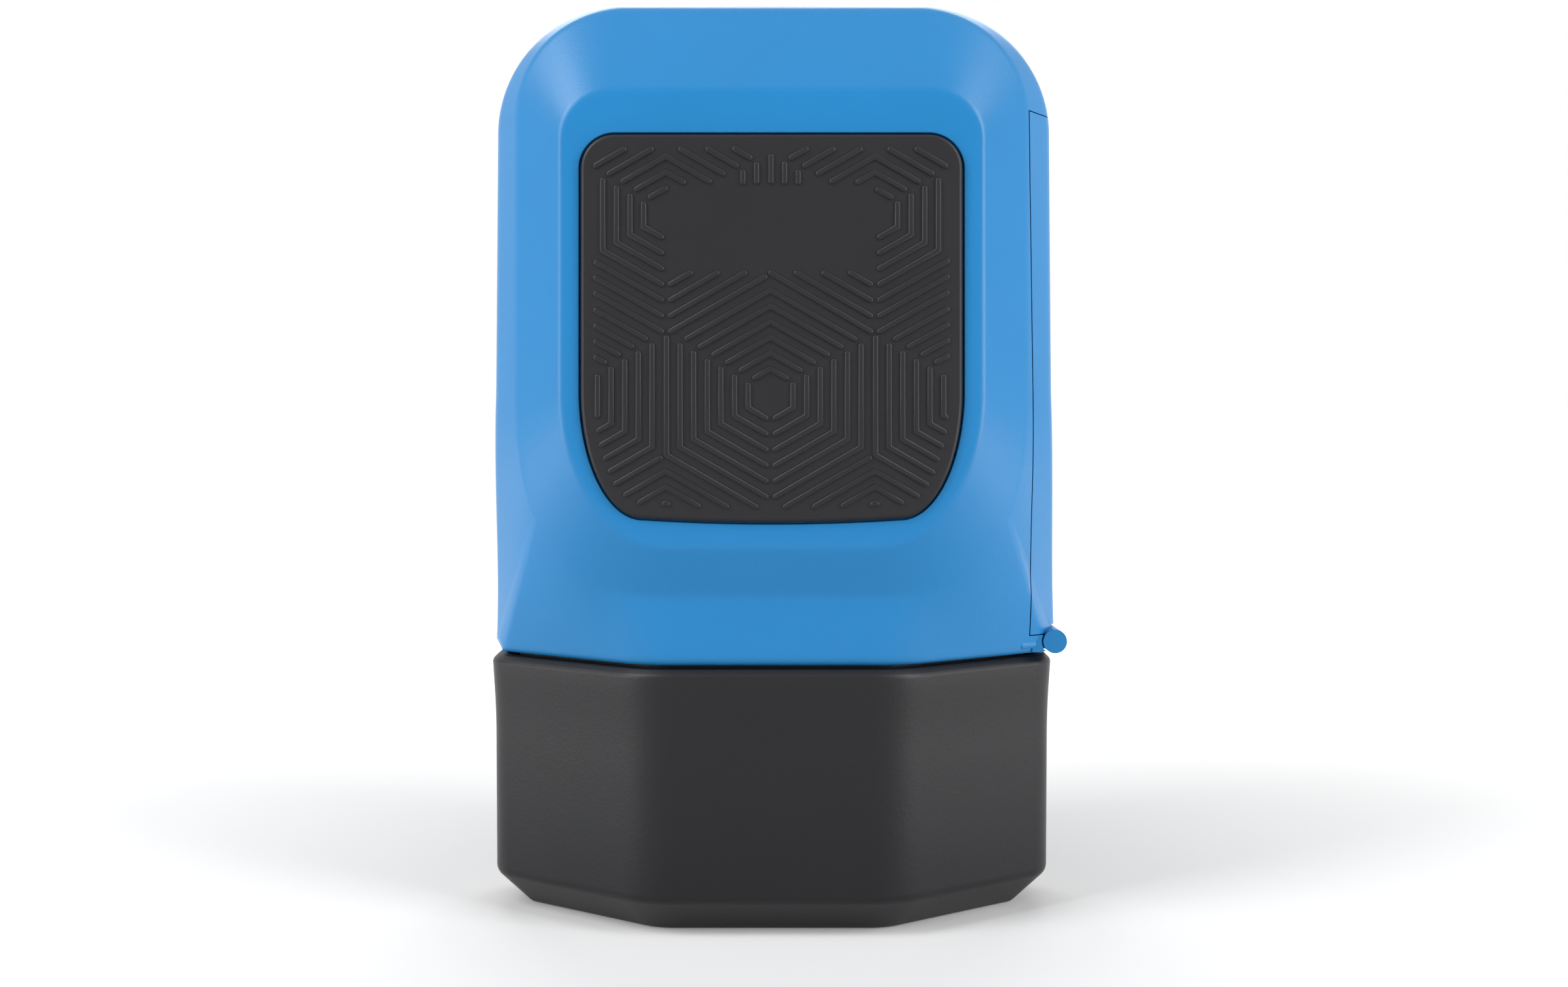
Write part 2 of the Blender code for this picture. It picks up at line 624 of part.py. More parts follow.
def add_pad(name, side, material):
    back = FIELD_PROUD - POCKET_DEPTH + SEAT_GAP
    face = FIELD_PROUD + PAD_PROUD
    levels = [(back, 0.0), (face - PAD_EDGE_ROUND, 0.0)]
    for step in range(1, PAD_ROUND_STEPS + 1):
        angle = 0.5 * math.pi * step / PAD_ROUND_STEPS
        levels.append((face - PAD_EDGE_ROUND + PAD_EDGE_ROUND * math.sin(angle),
                       -PAD_EDGE_ROUND * (1.0 - math.cos(angle))))
    points, faces = loft(pad_rings(side, levels))
    return add_object(name, points, faces, material, smooth=True)


def add_pocket(name, side):
    levels = [(FIELD_PROUD - POCKET_DEPTH, POCKET_CLEARANCE), (FIELD_PROUD + OVERRUN, POCKET_CLEARANCE)]
    points, faces = loft(pad_rings(side, levels))
    return add_object(name, points, faces)


def door_prism(name, gap):
    """The slanted block that parts the door from the housing; the gap draws it in on every edge."""
    low = DOOR_BOTTOM + gap
    high = DOOR_TOP - gap
    outer = HINGE_X + HINGE_RADIUS + OVERRUN
    profile = [(DOOR_EDGE_BOTTOM_X + gap, low), (outer, low), (outer, high), (DOOR_EDGE_TOP_X + gap, high)]
    rings = [[(x, y, z) for x, z in profile] for y in (-BODY_HALF_DEPTH, BODY_HALF_DEPTH)]
    points, faces = loft(rings)
    return add_object(name, points, faces)


def add_housing(material):
    housing = housing_solid("housing_shell", material)
    boolean(housing, inner_solid("cut_room"), "DIFFERENCE")
    boolean(housing, add_pocket("cut_front_pocket", -1), "DIFFERENCE")
    boolean(housing, add_pocket("cut_rear_pocket", 1), "DIFFERENCE")
    relief = HINGE_RADIUS + HINGE_RELIEF
    reach = HINGE_HALF_LENGTH + DOOR_GAP
    sill = add_box("add_sill", (SILL_INNER_X, -reach, BODY_BOTTOM + SILL_STEP),
                   (HINGE_X - HINGE_RADIUS, reach, DOOR_BOTTOM + OVERRUN))
    boolean(housing, sill, "UNION")
    boolean(housing, door_prism("cut_doorway", 0.0), "DIFFERENCE")
    boolean(housing, rod("cut_barrel_room", -reach, reach, relief, HINGE_Z, along="Y", axis_x=HINGE_X,
                         sides=SMALL_SIDES), "DIFFERENCE")
    boolean(housing, hinge_lug("add_lug"), "UNION")
    bore = HINGE_PIN_RADIUS + HINGE_PIN_CLEARANCE
    boolean(housing, rod("cut_lug_bore", -reach, reach, bore, HINGE_Z, along="Y", axis_x=HINGE_X,
                         sides=SMALL_SIDES), "DIFFERENCE")
    return housing


def hinge_lug(name):
    """The middle lug of the hinge with its root in the sill, as an outline drawn round the barrel."""
    root = SILL_INNER_X + SILL_STEP
    outline = [(root, BODY_BOTTOM + SILL_STEP), (HINGE_X, HINGE_Z - HINGE_RADIUS)]
    for step in range(1, SMALL_SIDES // 2):
        angle = math.pi * (step / (SMALL_SIDES // 2) - 0.5)
        outline.append((HINGE_X + HINGE_RADIUS * math.cos(angle), HINGE_Z + HINGE_RADIUS * math.sin(angle)))
    outline.append((HINGE_X, HINGE_Z + HINGE_RADIUS))
    outline.append((root, DOOR_BOTTOM - SILL_STEP))
    reach = HINGE_LUG_HALF_LENGTH
    rings = [[(x, y, z) for x, z in outline] for y in (-reach, reach)]
    points, faces = loft(rings)
    return add_object(name, points, faces)


def hinge_barrel(name):
    """The door's barrel with the leaf that runs up into its wall, whole until the lug's room parts it."""
    leaf_top = DOOR_BOTTOM + HINGE_LEAF_HEIGHT
    outline = [(HINGE_X - HINGE_RADIUS, leaf_top)]
    for step in range(SMALL_SIDES * 3 // 4 + 1):
        angle = 2.0 * math.pi * step / SMALL_SIDES - math.pi
        outline.append((HINGE_X + HINGE_RADIUS * math.cos(angle), HINGE_Z + HINGE_RADIUS * math.sin(angle)))
    outline.append((HINGE_X, leaf_top))
    rings = [[(x, y, z) for x, z in outline] for y in (-HINGE_HALF_LENGTH, HINGE_HALF_LENGTH)]
    points, faces = loft(rings)
    return add_object(name, points, faces)


def add_door(material):
    door = housing_solid("side_door", material)
    boolean(door, inner_solid("cut_door_room"), "DIFFERENCE")
    boolean(door, door_prism("keep_door", DOOR_GAP), "INTERSECT")
    boolean(door, hinge_barrel("add_barrel"), "UNION")
    reach = HINGE_LUG_HALF_LENGTH + DOOR_GAP
    boolean(door, rod("cut_lug_room", -reach, reach, HINGE_RADIUS + HINGE_RELIEF, HINGE_Z, along="Y",
                      axis_x=HINGE_X, sides=SMALL_SIDES), "DIFFERENCE")
    bore = HINGE_PIN_RADIUS + HINGE_PIN_CLEARANCE
    reach = HINGE_HALF_LENGTH + OVERRUN
    boolean(door, rod("cut_knuckle_bore", -reach, reach, bore, HINGE_Z, along="Y", axis_x=HINGE_X,
                      sides=SMALL_SIDES), "DIFFERENCE")
    latch_top = DOOR_TOP - DOOR_GAP - LATCH_HEIGHT
    wall_x = OUTLINE_TOP_HALF_WIDTH - 0.5 * BODY_WALL
    latch_x = wall_x - BODY_WALL - LATCH_REACH
    latch = add_box("add_latch", (latch_x, -LATCH_HALF_WIDTH, latch_top - LATCH_HEIGHT),
                    (wall_x, LATCH_HALF_WIDTH, latch_top))
    boolean(door, latch, "UNION")
    return door


def add_cap(material):
    """The cap as one loft: underside, chamfer, wall, rim chamfer, then down inside to the floor."""
    rim = -SEAT_GAP
    foot = CAP_FOOT_INSET
    flare_base = CAP_HEIGHT - CAP_FLARE_HEIGHT
    outside = [
        (foot + CAP_CHAMFER, 0.0),
        (foot, CAP_CHAMFER),
        (rim + CAP_FLARE, flare_base),
        (rim, CAP_HEIGHT - CAP_RIM_CHAMFER),
        (rim + CAP_RIM_CHAMFER, CAP_HEIGHT),
    ]
    inside = [
        (rim + CAP_WALL, CAP_HEIGHT),
        (rim + CAP_FLARE + CAP_WALL, flare_base),
        (foot + CAP_WALL, CAP_CHAMFER + CAP_WALL),
        (foot + CAP_WALL + 0.5 * CAP_CHAMFER, CAP_FLOOR),
    ]
    rings = [full_section(inset, z) for inset, z in outside + inside]
    points, faces = loft(rings)
    return add_object("cap_shell", points, faces, material, smooth=True)


def add_frame(material):
    """Skirt, deck with its window, bearing walls and guide walls as one moulding."""
    inner = FRAME_INSET + FRAME_WALL
    levels = [(FRAME_INSET, FRAME_BOTTOM), (FRAME_INSET, FRAME_TOP), (inner, FRAME_TOP), (inner, DECK_TOP)]
    points, faces = loft([full_section(inset, z) for inset, z in levels])
    frame = add_object("roller_frame", points, faces, material)
    half_y = BODY_HALF_DEPTH - FRAME_INSET - FRAME_WALL
    points, faces = loft([full_section(inner, FRAME_BOTTOM - OVERRUN), full_section(inner, DECK_BOTTOM)])
    room = add_object("cut_frame_room", points, faces)
    for side in (-1, 1):
        outer = side * BODY_HALF_WIDTH
        near = side * BEARING_INNER_X
        block = add_box(f"keep_bearing_{side}", (min(near, outer), -half_y, FRAME_BOTTOM - 2.0 * OVERRUN),
                        (max(near, outer), half_y, DECK_BOTTOM + OVERRUN))
        boolean(room, block, "DIFFERENCE")
    boolean(frame, room, "DIFFERENCE")
    below = add_box("cut_below_skirt", (-BEARING_INNER_X, -BODY_HALF_DEPTH, FRAME_BOTTOM - OVERRUN),
                    (BEARING_INNER_X, BODY_HALF_DEPTH, SKIRT_BOTTOM))
    boolean(frame, below, "DIFFERENCE")
    for side in (-1, 1):
        ends = sorted((side * RIM_HALF_X, side * BODY_HALF_WIDTH))
        above = add_box(f"cut_rim_{side}", (ends[0], -BODY_HALF_DEPTH, DECK_TOP),
                        (ends[1], BODY_HALF_DEPTH, FRAME_TOP + OVERRUN))
        boolean(frame, above, "DIFFERENCE")
    window = add_box("cut_window", (-WINDOW_HALF_X, -WINDOW_HALF_Y, DECK_BOTTOM - OVERRUN),
                     (WINDOW_HALF_X, WINDOW_HALF_Y, DECK_TOP + OVERRUN))
    boolean(frame, window, "DIFFERENCE")
    hole = BUSH_RADIUS + RUNNING_CLEARANCE
    reach = BODY_HALF_WIDTH
    boolean(frame, rod("cut_bush_holes", -reach, reach, hole, ROLLER_AXIS_Z), "DIFFERENCE")
    for side in (-1, 1):
        near = side * (CASE_HALF_Y + SEAT_GAP)
        far = near + side * GUIDE_WALL_THICKNESS
        wall = add_box(f"add_guide_{side}", (-GUIDE_WALL_HALF_X, min(near, far), DECK_TOP - 0.5 * OVERRUN),
                       (GUIDE_WALL_HALF_X, max(near, far), GUIDE_WALL_TOP))
        boolean(frame, wall, "UNION")
    return frame


def add_print_roller(steel, core, rubber, washer, bush):
    axis = ROLLER_AXIS_Z
    reach = AXLE_HALF_LENGTH
    rod("print_roller_axle", -reach, reach, AXLE_RADIUS, axis, steel, sides=SMALL_SIDES)
    bore = AXLE_RADIUS + RUNNING_CLEARANCE
    turned("print_roller_core", [(-HUB_HALF_LENGTH, bore), (-HUB_HALF_LENGTH, HUB_RADIUS),
                                 (-CORE_HALF_LENGTH, HUB_RADIUS), (-CORE_HALF_LENGTH, CORE_RADIUS),
                                 (CORE_HALF_LENGTH, CORE_RADIUS), (CORE_HALF_LENGTH, HUB_RADIUS),
                                 (HUB_HALF_LENGTH, HUB_RADIUS), (HUB_HALF_LENGTH, bore)], axis, core)
    seat = CORE_RADIUS + SEAT_GAP
    tube("print_sleeve", -SLEEVE_HALF_LENGTH, SLEEVE_HALF_LENGTH, SLEEVE_RADIUS, seat, axis, rubber)
    names = {-1: "left", 1: "right"}
    for side, word in names.items():
        ends = sorted((side * RING_INNER_X, side * CORE_HALF_LENGTH))
        tube(f"{word}_traction_ring", ends[0], ends[1], RING_RADIUS, seat, axis, rubber)
        ends = sorted((side * WASHER_INNER_X, side * (WASHER_INNER_X + WASHER_THICKNESS)))
        tube(f"{word}_thrust_washer", ends[0], ends[1], WASHER_RADIUS, bore, axis, washer, sides=SMALL_SIDES)
        add_bush(f"{word}_axle_bush", side, bush)
        add_axle_clip(f"{word}_axle_clip", side, steel)


def add_bush(name, side, material):
    bore = AXLE_RADIUS + RUNNING_CLEARANCE
    flange_end = BUSH_INNER_X + BUSH_FLANGE_THICKNESS
    profile = [(BUSH_INNER_X, bore), (BUSH_INNER_X, BUSH_FLANGE_RADIUS), (flange_end, BUSH_FLANGE_RADIUS),
               (flange_end, BUSH_RADIUS), (BUSH_OUTER_X, BUSH_RADIUS), (BUSH_OUTER_X, bore)]
    turned(name, [(side * x, r) for x, r in profile], ROLLER_AXIS_Z, material, sides=SMALL_SIDES)


def add_ink_roller(steel, core, foam):
    axis = INK_AXIS_Z
    reach = CASE_HALF_X - CASE_WALL + INK_AXLE_REACH
    rod("ink_roller_axle", -reach, reach, INK_AXLE_RADIUS, axis, steel, sides=SMALL_SIDES)
    tube("ink_roller_core", -INK_CORE_HALF_LENGTH, INK_CORE_HALF_LENGTH, INK_CORE_RADIUS,
         INK_AXLE_RADIUS + RUNNING_CLEARANCE, axis, core, sides=SMALL_SIDES)
    tube("ink_foam_sleeve", -SLEEVE_HALF_LENGTH, SLEEVE_HALF_LENGTH, INK_RADIUS,
         INK_CORE_RADIUS + SEAT_GAP, axis, foam)


def add_cartridge(plastic, felt, tab):
    case = add_box("cartridge_case", (-CASE_HALF_X, -CASE_HALF_Y, CASE_BOTTOM),
                   (CASE_HALF_X, CASE_HALF_Y, CASE_TOP), plastic)
    room_x = CASE_HALF_X - CASE_WALL
    room_y = CASE_HALF_Y - CASE_WALL
    room = add_box("cut_case_room", (-room_x, -room_y, CASE_BOTTOM - OVERRUN),
                   (room_x, room_y, CASE_TOP + OVERRUN))
    boolean(case, room, "DIFFERENCE")
    bore = INK_AXLE_RADIUS + RUNNING_CLEARANCE
    boolean(case, rod("cut_ink_bore", -BODY_HALF_WIDTH, BODY_HALF_WIDTH, bore, INK_AXIS_Z,
                      sides=SMALL_SIDES), "DIFFERENCE")
    add_lid(plastic)
    felt_low = INK_AXIS_Z + INK_RADIUS + SEAT_GAP
    half_x = CASE_HALF_X - CASE_WALL - SEAT_GAP
    half_y = CASE_HALF_Y - CASE_WALL - SEAT_GAP
    add_box("ink_reservoir_felt", (-half_x, -half_y, felt_low), (half_x, half_y, FELT_TOP), felt)
    add_tab(tab)


def add_lid(material):
    """A flat lid with a plug that sits between the case's walls."""
    low = CASE_TOP + SEAT_GAP
    lid = add_box("cartridge_lid", (-CASE_HALF_X, -CASE_HALF_Y, low),
                  (CASE_HALF_X, CASE_HALF_Y, low + LID_HEIGHT), material)
    half_x = CASE_HALF_X - CASE_WALL - SEAT_GAP
    half_y = CASE_HALF_Y - CASE_WALL - SEAT_GAP
    plug = add_box("add_lid_plug", (-half_x, -half_y, FELT_TOP + SEAT_GAP),
                   (half_x, half_y, low + 0.5 * LID_HEIGHT))
    boolean(lid, plug, "UNION")


def add_tab(material):
    """The finger tab on the case's end wall, with ribs to hold it by."""
    inner = CASE_HALF_X + SEAT_GAP
    outer = inner + TAB_THICKNESS
    tab = add_box("cartridge_pull_tab", (inner, -TAB_HALF_Y, TAB_BOTTOM),
                  (outer, TAB_HALF_Y, TAB_TOP), material)
    pitch = TAB_HEIGHT / (TAB_RIBS + 1)
    for i in range(TAB_RIBS):
        z = TAB_BOTTOM + pitch * (i + 1)
        reach = TAB_HALF_Y - TAB_RIB
        rib = add_box(f"add_tab_rib_{i}", (inner + 0.5 * TAB_THICKNESS, -reach, z - 0.5 * TAB_RIB),
                      (outer + 0.5 * TAB_RIB, reach, z + 0.5 * TAB_RIB))
        boolean(tab, rib, "UNION")


def add_spring(material):
    """A bowed leaf between the lid and the guide."""
    rings = []
    for i in range(SPRING_STEPS + 1):
        share = 2.0 * i / SPRING_STEPS - 1.0
        x = SPRING_HALF_LENGTH * share
        low = SPRING_BASE + SPRING_RISE * share * share
        high = low + SPRING_THICKNESS
        rings.append([(x, -SPRING_HALF_WIDTH, low), (x, SPRING_HALF_WIDTH, low),
                      (x, SPRING_HALF_WIDTH, high), (x, -SPRING_HALF_WIDTH, high)])
    points, faces = loft(rings)
    return add_object("cartridge_spring", points, faces, material)


def add_guide(material):
    """An inverted channel that holds the cartridge's head, hung from the roof by a post."""
    low = SPRING_BASE + SPRING_RISE + SPRING_THICKNESS + SEAT_GAP
    inner = CASE_HALF_Y + SEAT_GAP
    outer = inner + GUIDE_CHEEK
    guide = add_box("cartridge_guide", (-GUIDE_HALF_X, -outer, low),
                    (GUIDE_HALF_X, outer, low + GUIDE_PLATE), material)
    for side in (-1, 1):
        near = side * inner
        far = side * outer
        cheek = add_box(f"add_cheek_{side}", (-GUIDE_HALF_X, min(near, far), low - GUIDE_CHEEK_DROP),
                        (GUIDE_HALF_X, max(near, far), low + 0.5 * GUIDE_PLATE))
        boolean(guide, cheek, "UNION")
    post_top = BODY_TOP - BODY_WALL - SEAT_GAP
    post = add_box("add_post", (-GUIDE_POST_HALF_X, -0.5 * inner, low + 0.5 * GUIDE_PLATE),
                   (GUIDE_POST_HALF_X, 0.5 * inner, post_top))
    boolean(guide, post, "UNION")
    return guide


def add_axle_clip(name, side, material):
    """A retaining clip behind a bush, as an open ring on the axle."""
    points, faces = loft(clip_rings(side * CLIP_INNER_X, side * (CLIP_INNER_X + CLIP_THICKNESS)))
    return add_object(name, points, faces, material, (0.0, 0.0, ROLLER_AXIS_Z))


def clip_rings(start, end):
    opening = math.radians(CLIP_OPENING_DEGREES)
    inner = AXLE_RADIUS + RUNNING_CLEARANCE
    rings = []
    for step in range(SMALL_SIDES + 1):
        angle = 0.5 * opening + (2.0 * math.pi - opening) * step / SMALL_SIDES - 0.5 * math.pi
        c = math.cos(angle)
        s = math.sin(angle)
        rings.append([(x, r * c, ROLLER_AXIS_Z + r * s)
                      for x, r in ((start, inner), (start, CLIP_RADIUS), (end, CLIP_RADIUS), (end, inner))])
    return rings


def main():
    clear_scene()
    blue = make_material("housing_blue", (0.025, 0.227, 0.565), 0.42)
    door_blue = make_material("door_blue", (0.025, 0.227, 0.565), 0.42)
    black = make_material("cap_black", (0.027, 0.027, 0.029), 0.5)
    pad_black = make_material("pad_black", (0.026, 0.025, 0.028), 0.38)
    frame_black = make_material("frame_black", (0.02, 0.02, 0.022), 0.45)
    steel = make_material("axle_steel", (0.62, 0.62, 0.64), 0.3, 1.0)
    core_white = make_material("core_white", (0.7, 0.7, 0.68), 0.5)
    rubber = make_material("print_rubber", (0.25, 0.06, 0.05), 0.7)
    nylon = make_material("bush_nylon", (0.75, 0.74, 0.7), 0.5)
    foam = make_material("ink_foam", (0.02, 0.02, 0.025), 0.9)
    cartridge = make_material("cartridge_grey", (0.18, 0.19, 0.2), 0.45)
    felt = make_material("ink_felt", (0.015, 0.015, 0.02), 0.95)
    add_cap(black)
    add_housing(blue)
    add_door(door_blue)
    reach = HINGE_HALF_LENGTH - SEAT_GAP
    rod("door_hinge_pin", -reach, reach, HINGE_PIN_RADIUS, HINGE_Z, steel, along="Y", axis_x=HINGE_X,
        sides=PIN_SIDES)
    add_pad("front_grip_pad", -1, pad_black)
    add_pad("rear_grip_pad", 1, pad_black)
    add_frame(frame_black)
    add_print_roller(steel, core_white, rubber, nylon, nylon)
    add_ink_roller(steel, core_white, foam)
    add_cartridge(cartridge, felt, cartridge)
    add_spring(steel)
    add_guide(frame_black)


main()
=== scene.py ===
import math

import bpy
import numpy as np
from bpy.props import FloatProperty, FloatVectorProperty, IntProperty, PointerProperty
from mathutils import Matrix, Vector


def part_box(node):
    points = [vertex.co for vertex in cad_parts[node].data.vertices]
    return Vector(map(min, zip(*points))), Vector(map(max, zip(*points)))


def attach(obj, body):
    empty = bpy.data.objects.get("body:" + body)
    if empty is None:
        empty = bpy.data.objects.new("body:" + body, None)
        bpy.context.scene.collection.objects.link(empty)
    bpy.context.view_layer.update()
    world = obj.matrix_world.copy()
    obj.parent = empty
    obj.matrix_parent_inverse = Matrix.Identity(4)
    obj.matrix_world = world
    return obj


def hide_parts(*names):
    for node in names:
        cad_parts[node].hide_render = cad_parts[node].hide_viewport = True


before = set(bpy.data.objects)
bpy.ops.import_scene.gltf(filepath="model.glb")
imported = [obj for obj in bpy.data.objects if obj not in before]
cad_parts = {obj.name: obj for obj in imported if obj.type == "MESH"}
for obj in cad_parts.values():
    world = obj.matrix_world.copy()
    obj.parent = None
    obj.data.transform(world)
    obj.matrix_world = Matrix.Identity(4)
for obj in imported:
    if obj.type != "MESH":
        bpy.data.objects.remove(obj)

bl_info = {
    "name": "Privacy roller stamp",
    "version": (1, 0, 0),
    "blender": (4, 5, 0),
    "location": "3D View > Sidebar > Roller stamp",
    "description": "Builds the looks of a capped privacy roller stamp around its packed frame",
    "category": "Object",
}

PHOTO_WIDTH = 2408
PHOTO_HEIGHT = 1516

MM = 0.001
FRONT = -1
REAR = 1

# Places taken from the frame
_, CAP_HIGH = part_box("cap_shell")
HOUSING_LOW, HOUSING_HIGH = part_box("housing_shell")
PAD_LOW, PAD_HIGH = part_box("front_grip_pad")
_, DOOR_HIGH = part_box("side_door")
PIN_LOW, PIN_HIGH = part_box("door_hinge_pin")
SLEEVE_LOW, SLEEVE_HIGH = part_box("print_sleeve")
FOAM_LOW, FOAM_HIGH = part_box("ink_foam_sleeve")
FOAM_CORE_LOW, FOAM_CORE_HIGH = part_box("ink_roller_core")
FELT_LOW, FELT_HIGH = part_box("ink_reservoir_felt")

BODY_BOTTOM = HOUSING_LOW[2]
BODY_TOP = HOUSING_HIGH[2]
HINGE_X = 0.5 * (PIN_LOW[0] + PIN_HIGH[0])
HINGE_Z = 0.5 * (PIN_LOW[2] + PIN_HIGH[2])

# Plan section shared by cap and housing
FLAT_HALF_WIDTH = 12.4 * MM
FACET_DEPTH = 11.5 * MM
FRONT_FILLET = 9.0 * MM
FLANK_FILLET = 4.0 * MM
SMALLEST_FILLET_SHARE = 0.25
FILLET_STEPS = 24
FLAT_STEPS = 6

# Rows between two creases and round a crease, and the most that a crease takes of the way to the next one
FLAT_ROWS = 2
BEND_ROWS = 6
CREASE_SHARE = 0.45

# Faces that meet at more than this keep a sharp edge
SHARP_ANGLE = math.radians(32.0)

# Points round half a loop: foot, lower corner below and above its middle, side, top corner, top
LOOP_COUNTS = (10, 44, 26, 24, 40, 14)
INNER_COUNTS = (3, 11, 7, 5, 9, 3)


def length_prop(name, description, millimetres):
    """A length in the sidebar, with its default in millimetres."""
    return FloatProperty(name=name, description=description, default=millimetres * MM, unit="LENGTH",
                         precision=5)


def colour_prop(name, description, value):
    """A colour in the sidebar, with its default as linear values."""
    return FloatVectorProperty(name=name, description=description, default=value, subtype="COLOR",
                               min=0.0, max=1.0)


def power_prop(name, description, watts):
    """A lamp's power in the sidebar."""
    return FloatProperty(name=name, description=description, default=watts, unit="POWER")


class StampSizes(bpy.types.PropertyGroup):
    """Sizes of the housing, the pads and their ribs, the print sleeve's pattern and the soft ink parts."""

    half_width: length_prop("Half width", "From the middle to the flank at the housing's foot", 28.75)
    half_depth: length_prop("Half depth", "From the middle plane to the housing's front flat", 16.5)
    crease: length_prop("Crease", "How far each bevel edge is rounded to either side", 0.55)
    door_gap: length_prop("Door gap", "Visible gap round the side door", 0.12)
    rib_width: length_prop("Rib width", "Width of a moulded rib on the pads", 0.56)
    rib_height: length_prop("Rib height", "How far the ribs stand proud of the pads", 0.22)
    rib_pitch: length_prop("Rib pitch", "Distance from one ring of ribs to the next", 1.292)
    ring_count: IntProperty(
        name="Rings", description="Rings of ribs round each centre", default=7, min=1, max=12)
    stroke_height: length_prop("Stroke height", "Height of the masking pattern on the print sleeve", 0.35)
    foam_pore: length_prop("Foam pore", "Depth of the pores in the inking foam", 0.18)
    felt_nub: length_prop("Felt nub", "Depth of the nubs on the felt", 0.12)


class StampColours(bpy.types.PropertyGroup):
    """Base colours of the finishes, as linear values."""

    blue: colour_prop("Housing blue", "Moulded housing and door", (0.0125, 0.206, 0.495))
    cap_black: colour_prop("Cap black", "Moulded cap", (0.0075, 0.0075, 0.009))
    pad_black: colour_prop("Pad black", "Grip pads", (0.017, 0.016, 0.0185))
    frame_black: colour_prop("Frame black", "Roller frame and cartridge guide", (0.018, 0.018, 0.02))
    steel: colour_prop("Steel", "Axles, clips, hinge pin and spring", (0.42, 0.42, 0.44))
    core_white: colour_prop("Core white", "Roller cores", (0.7, 0.7, 0.68))
    nylon: colour_prop("Nylon", "Bushes and washers", (0.75, 0.74, 0.7))
    rubber: colour_prop("Print rubber", "Print sleeve and traction rings", (0.25, 0.06, 0.05))
    cartridge: colour_prop("Cartridge grey", "Ink cartridge", (0.18, 0.19, 0.2))
    ink: colour_prop("Ink black", "Soaked foam and felt", (0.012, 0.012, 0.016))


class StageSettings(bpy.types.PropertyGroup):
    """Lamp powers, the surrounding light and the camera's place."""

    left_power: power_prop("Left lamp", "Power of the left softbox", 1.0)
    right_power: power_prop("Right lamp", "Power of the right softbox", 1.38)
    left_side_power: power_prop("Left side lamp", "Power of the softbox straight to the left", 0.05)
    right_side_power: power_prop("Right side lamp", "Power of the softbox straight to the right", 0.01)
    left_upper_power: power_prop("Upper left lamp", "Power of the high left lamp", 0.6)
    right_upper_power: power_prop("Upper right lamp", "Power of the high right lamp", 0.25)
    low_power: power_prop("Low strips", "Power of each low strip beside the stamp", 0.035)
    top_power: power_prop("Top lamp", "Power of the overhead softbox", 0.2)
    rear_power: power_prop("Rear lamps", "Power of each softbox behind the stamp", 0.45)
    world_light: FloatProperty(
        name="Ambient", description="Strength of the plain surrounding light", default=0.02)
    camera_distance: length_prop("Camera distance", "From the camera to the housing's front flat", 163.0)
    camera_height: length_prop("Camera height", "Height of the camera above the floor", 48.9)


def unit(vector):
    """The vector divided by its length."""
    return vector / np.linalg.norm(vector)


def spaced(start, end, count):
    """Rows from start towards end, without the end: start + (end - start) * i / count."""
    share = np.arange(count)[:, None] / count
    start = np.asarray(start, dtype=float)
    return start + (np.asarray(end, dtype=float) - start) * share


def ease(share):
    """Smooth step from 0 to 1: s * s * (3 - 2 s)."""
    share = np.clip(share, 0.0, 1.0)
    return share * share * (3.0 - 2.0 * share)


def fillet(before, corner, after, radius):
    """Arc that rounds a plane corner: one tangent point turned to the other about the arc's centre."""
    a = unit(np.subtract(before, corner))
    b = unit(np.subtract(after, corner))
    half = 0.5 * math.acos(float(np.clip(a @ b, -1.0, 1.0)))
    reach = radius / math.tan(half)
    centre = np.asarray(corner) + unit(a + b) * radius / math.sin(half)
    first = np.asarray(corner) + a * reach - centre
    last = np.asarray(corner) + b * reach - centre
    sweep = math.pi - 2.0 * half
    share = np.linspace(0.0, 1.0, FILLET_STEPS + 1)[:, None]
    mix = np.sin((1.0 - share) * sweep) * first + np.sin(share * sweep) * last
    return centre + mix / math.sin(sweep)


def facet_slope(sizes):
    """Angle between the front flat and a side facet, from the facet's depth and width."""
    return math.atan2(FACET_DEPTH, sizes.half_width - FLAT_HALF_WIDTH)


def flat_end(sizes):
    """Where the front flat ends and its rounding to the facet begins."""
    return FLAT_HALF_WIDTH - FRONT_FILLET * math.tan(0.5 * facet_slope(sizes))


def quarter_section(sizes, inset):
    """The plan octagon from front middle to flank middle, as rows of (x, depth), moved in by inset."""
    slope = facet_slope(sizes)
    flank = sizes.half_width - inset
    first = (FLAT_HALF_WIDTH - inset * math.tan(0.5 * slope), inset)
    second = (flank, FACET_DEPTH + inset * math.tan(0.5 * (0.5 * math.pi - slope)))
    middle = (flank, sizes.half_depth)
    start = (0.0, inset)
    small = max(FLANK_FILLET - inset, FLANK_FILLET * SMALLEST_FILLET_SHARE)
    front = fillet(start, first, second, FRONT_FILLET - inset)
    side = fillet(first, second, middle, small)
    return np.vstack([[start], front, side, [middle]])


def section_ring(sizes, inset, height):
    """The whole plan outline at a height, as a closed ring of world points."""
    quarter = quarter_section(sizes, inset)
    fillet_rows = FILLET_STEPS + 1
    pieces = [
        spaced(quarter[0], quarter[1], FLAT_STEPS),
        quarter[1:1 + fillet_rows][:-1],
        spaced(quarter[fillet_rows], quarter[fillet_rows + 1], FLAT_STEPS * 2),
        quarter[1 + fillet_rows:1 + 2 * fillet_rows][:-1],
        spaced(quarter[2 * fillet_rows], quarter[-1], FLAT_STEPS),
    ]
    rows = np.vstack(pieces + [quarter[-1:]])
    x = rows[:, 0]
    y = rows[:, 1] - sizes.half_depth
    right = np.column_stack([x, y])
    back = right[-2::-1] * (1.0, -1.0)
    half = np.vstack([right, back])
    left = half[-2:0:-1] * (-1.0, 1.0)
    ring = np.vstack([half, left])
    return np.column_stack([ring, np.full(len(ring), height)])


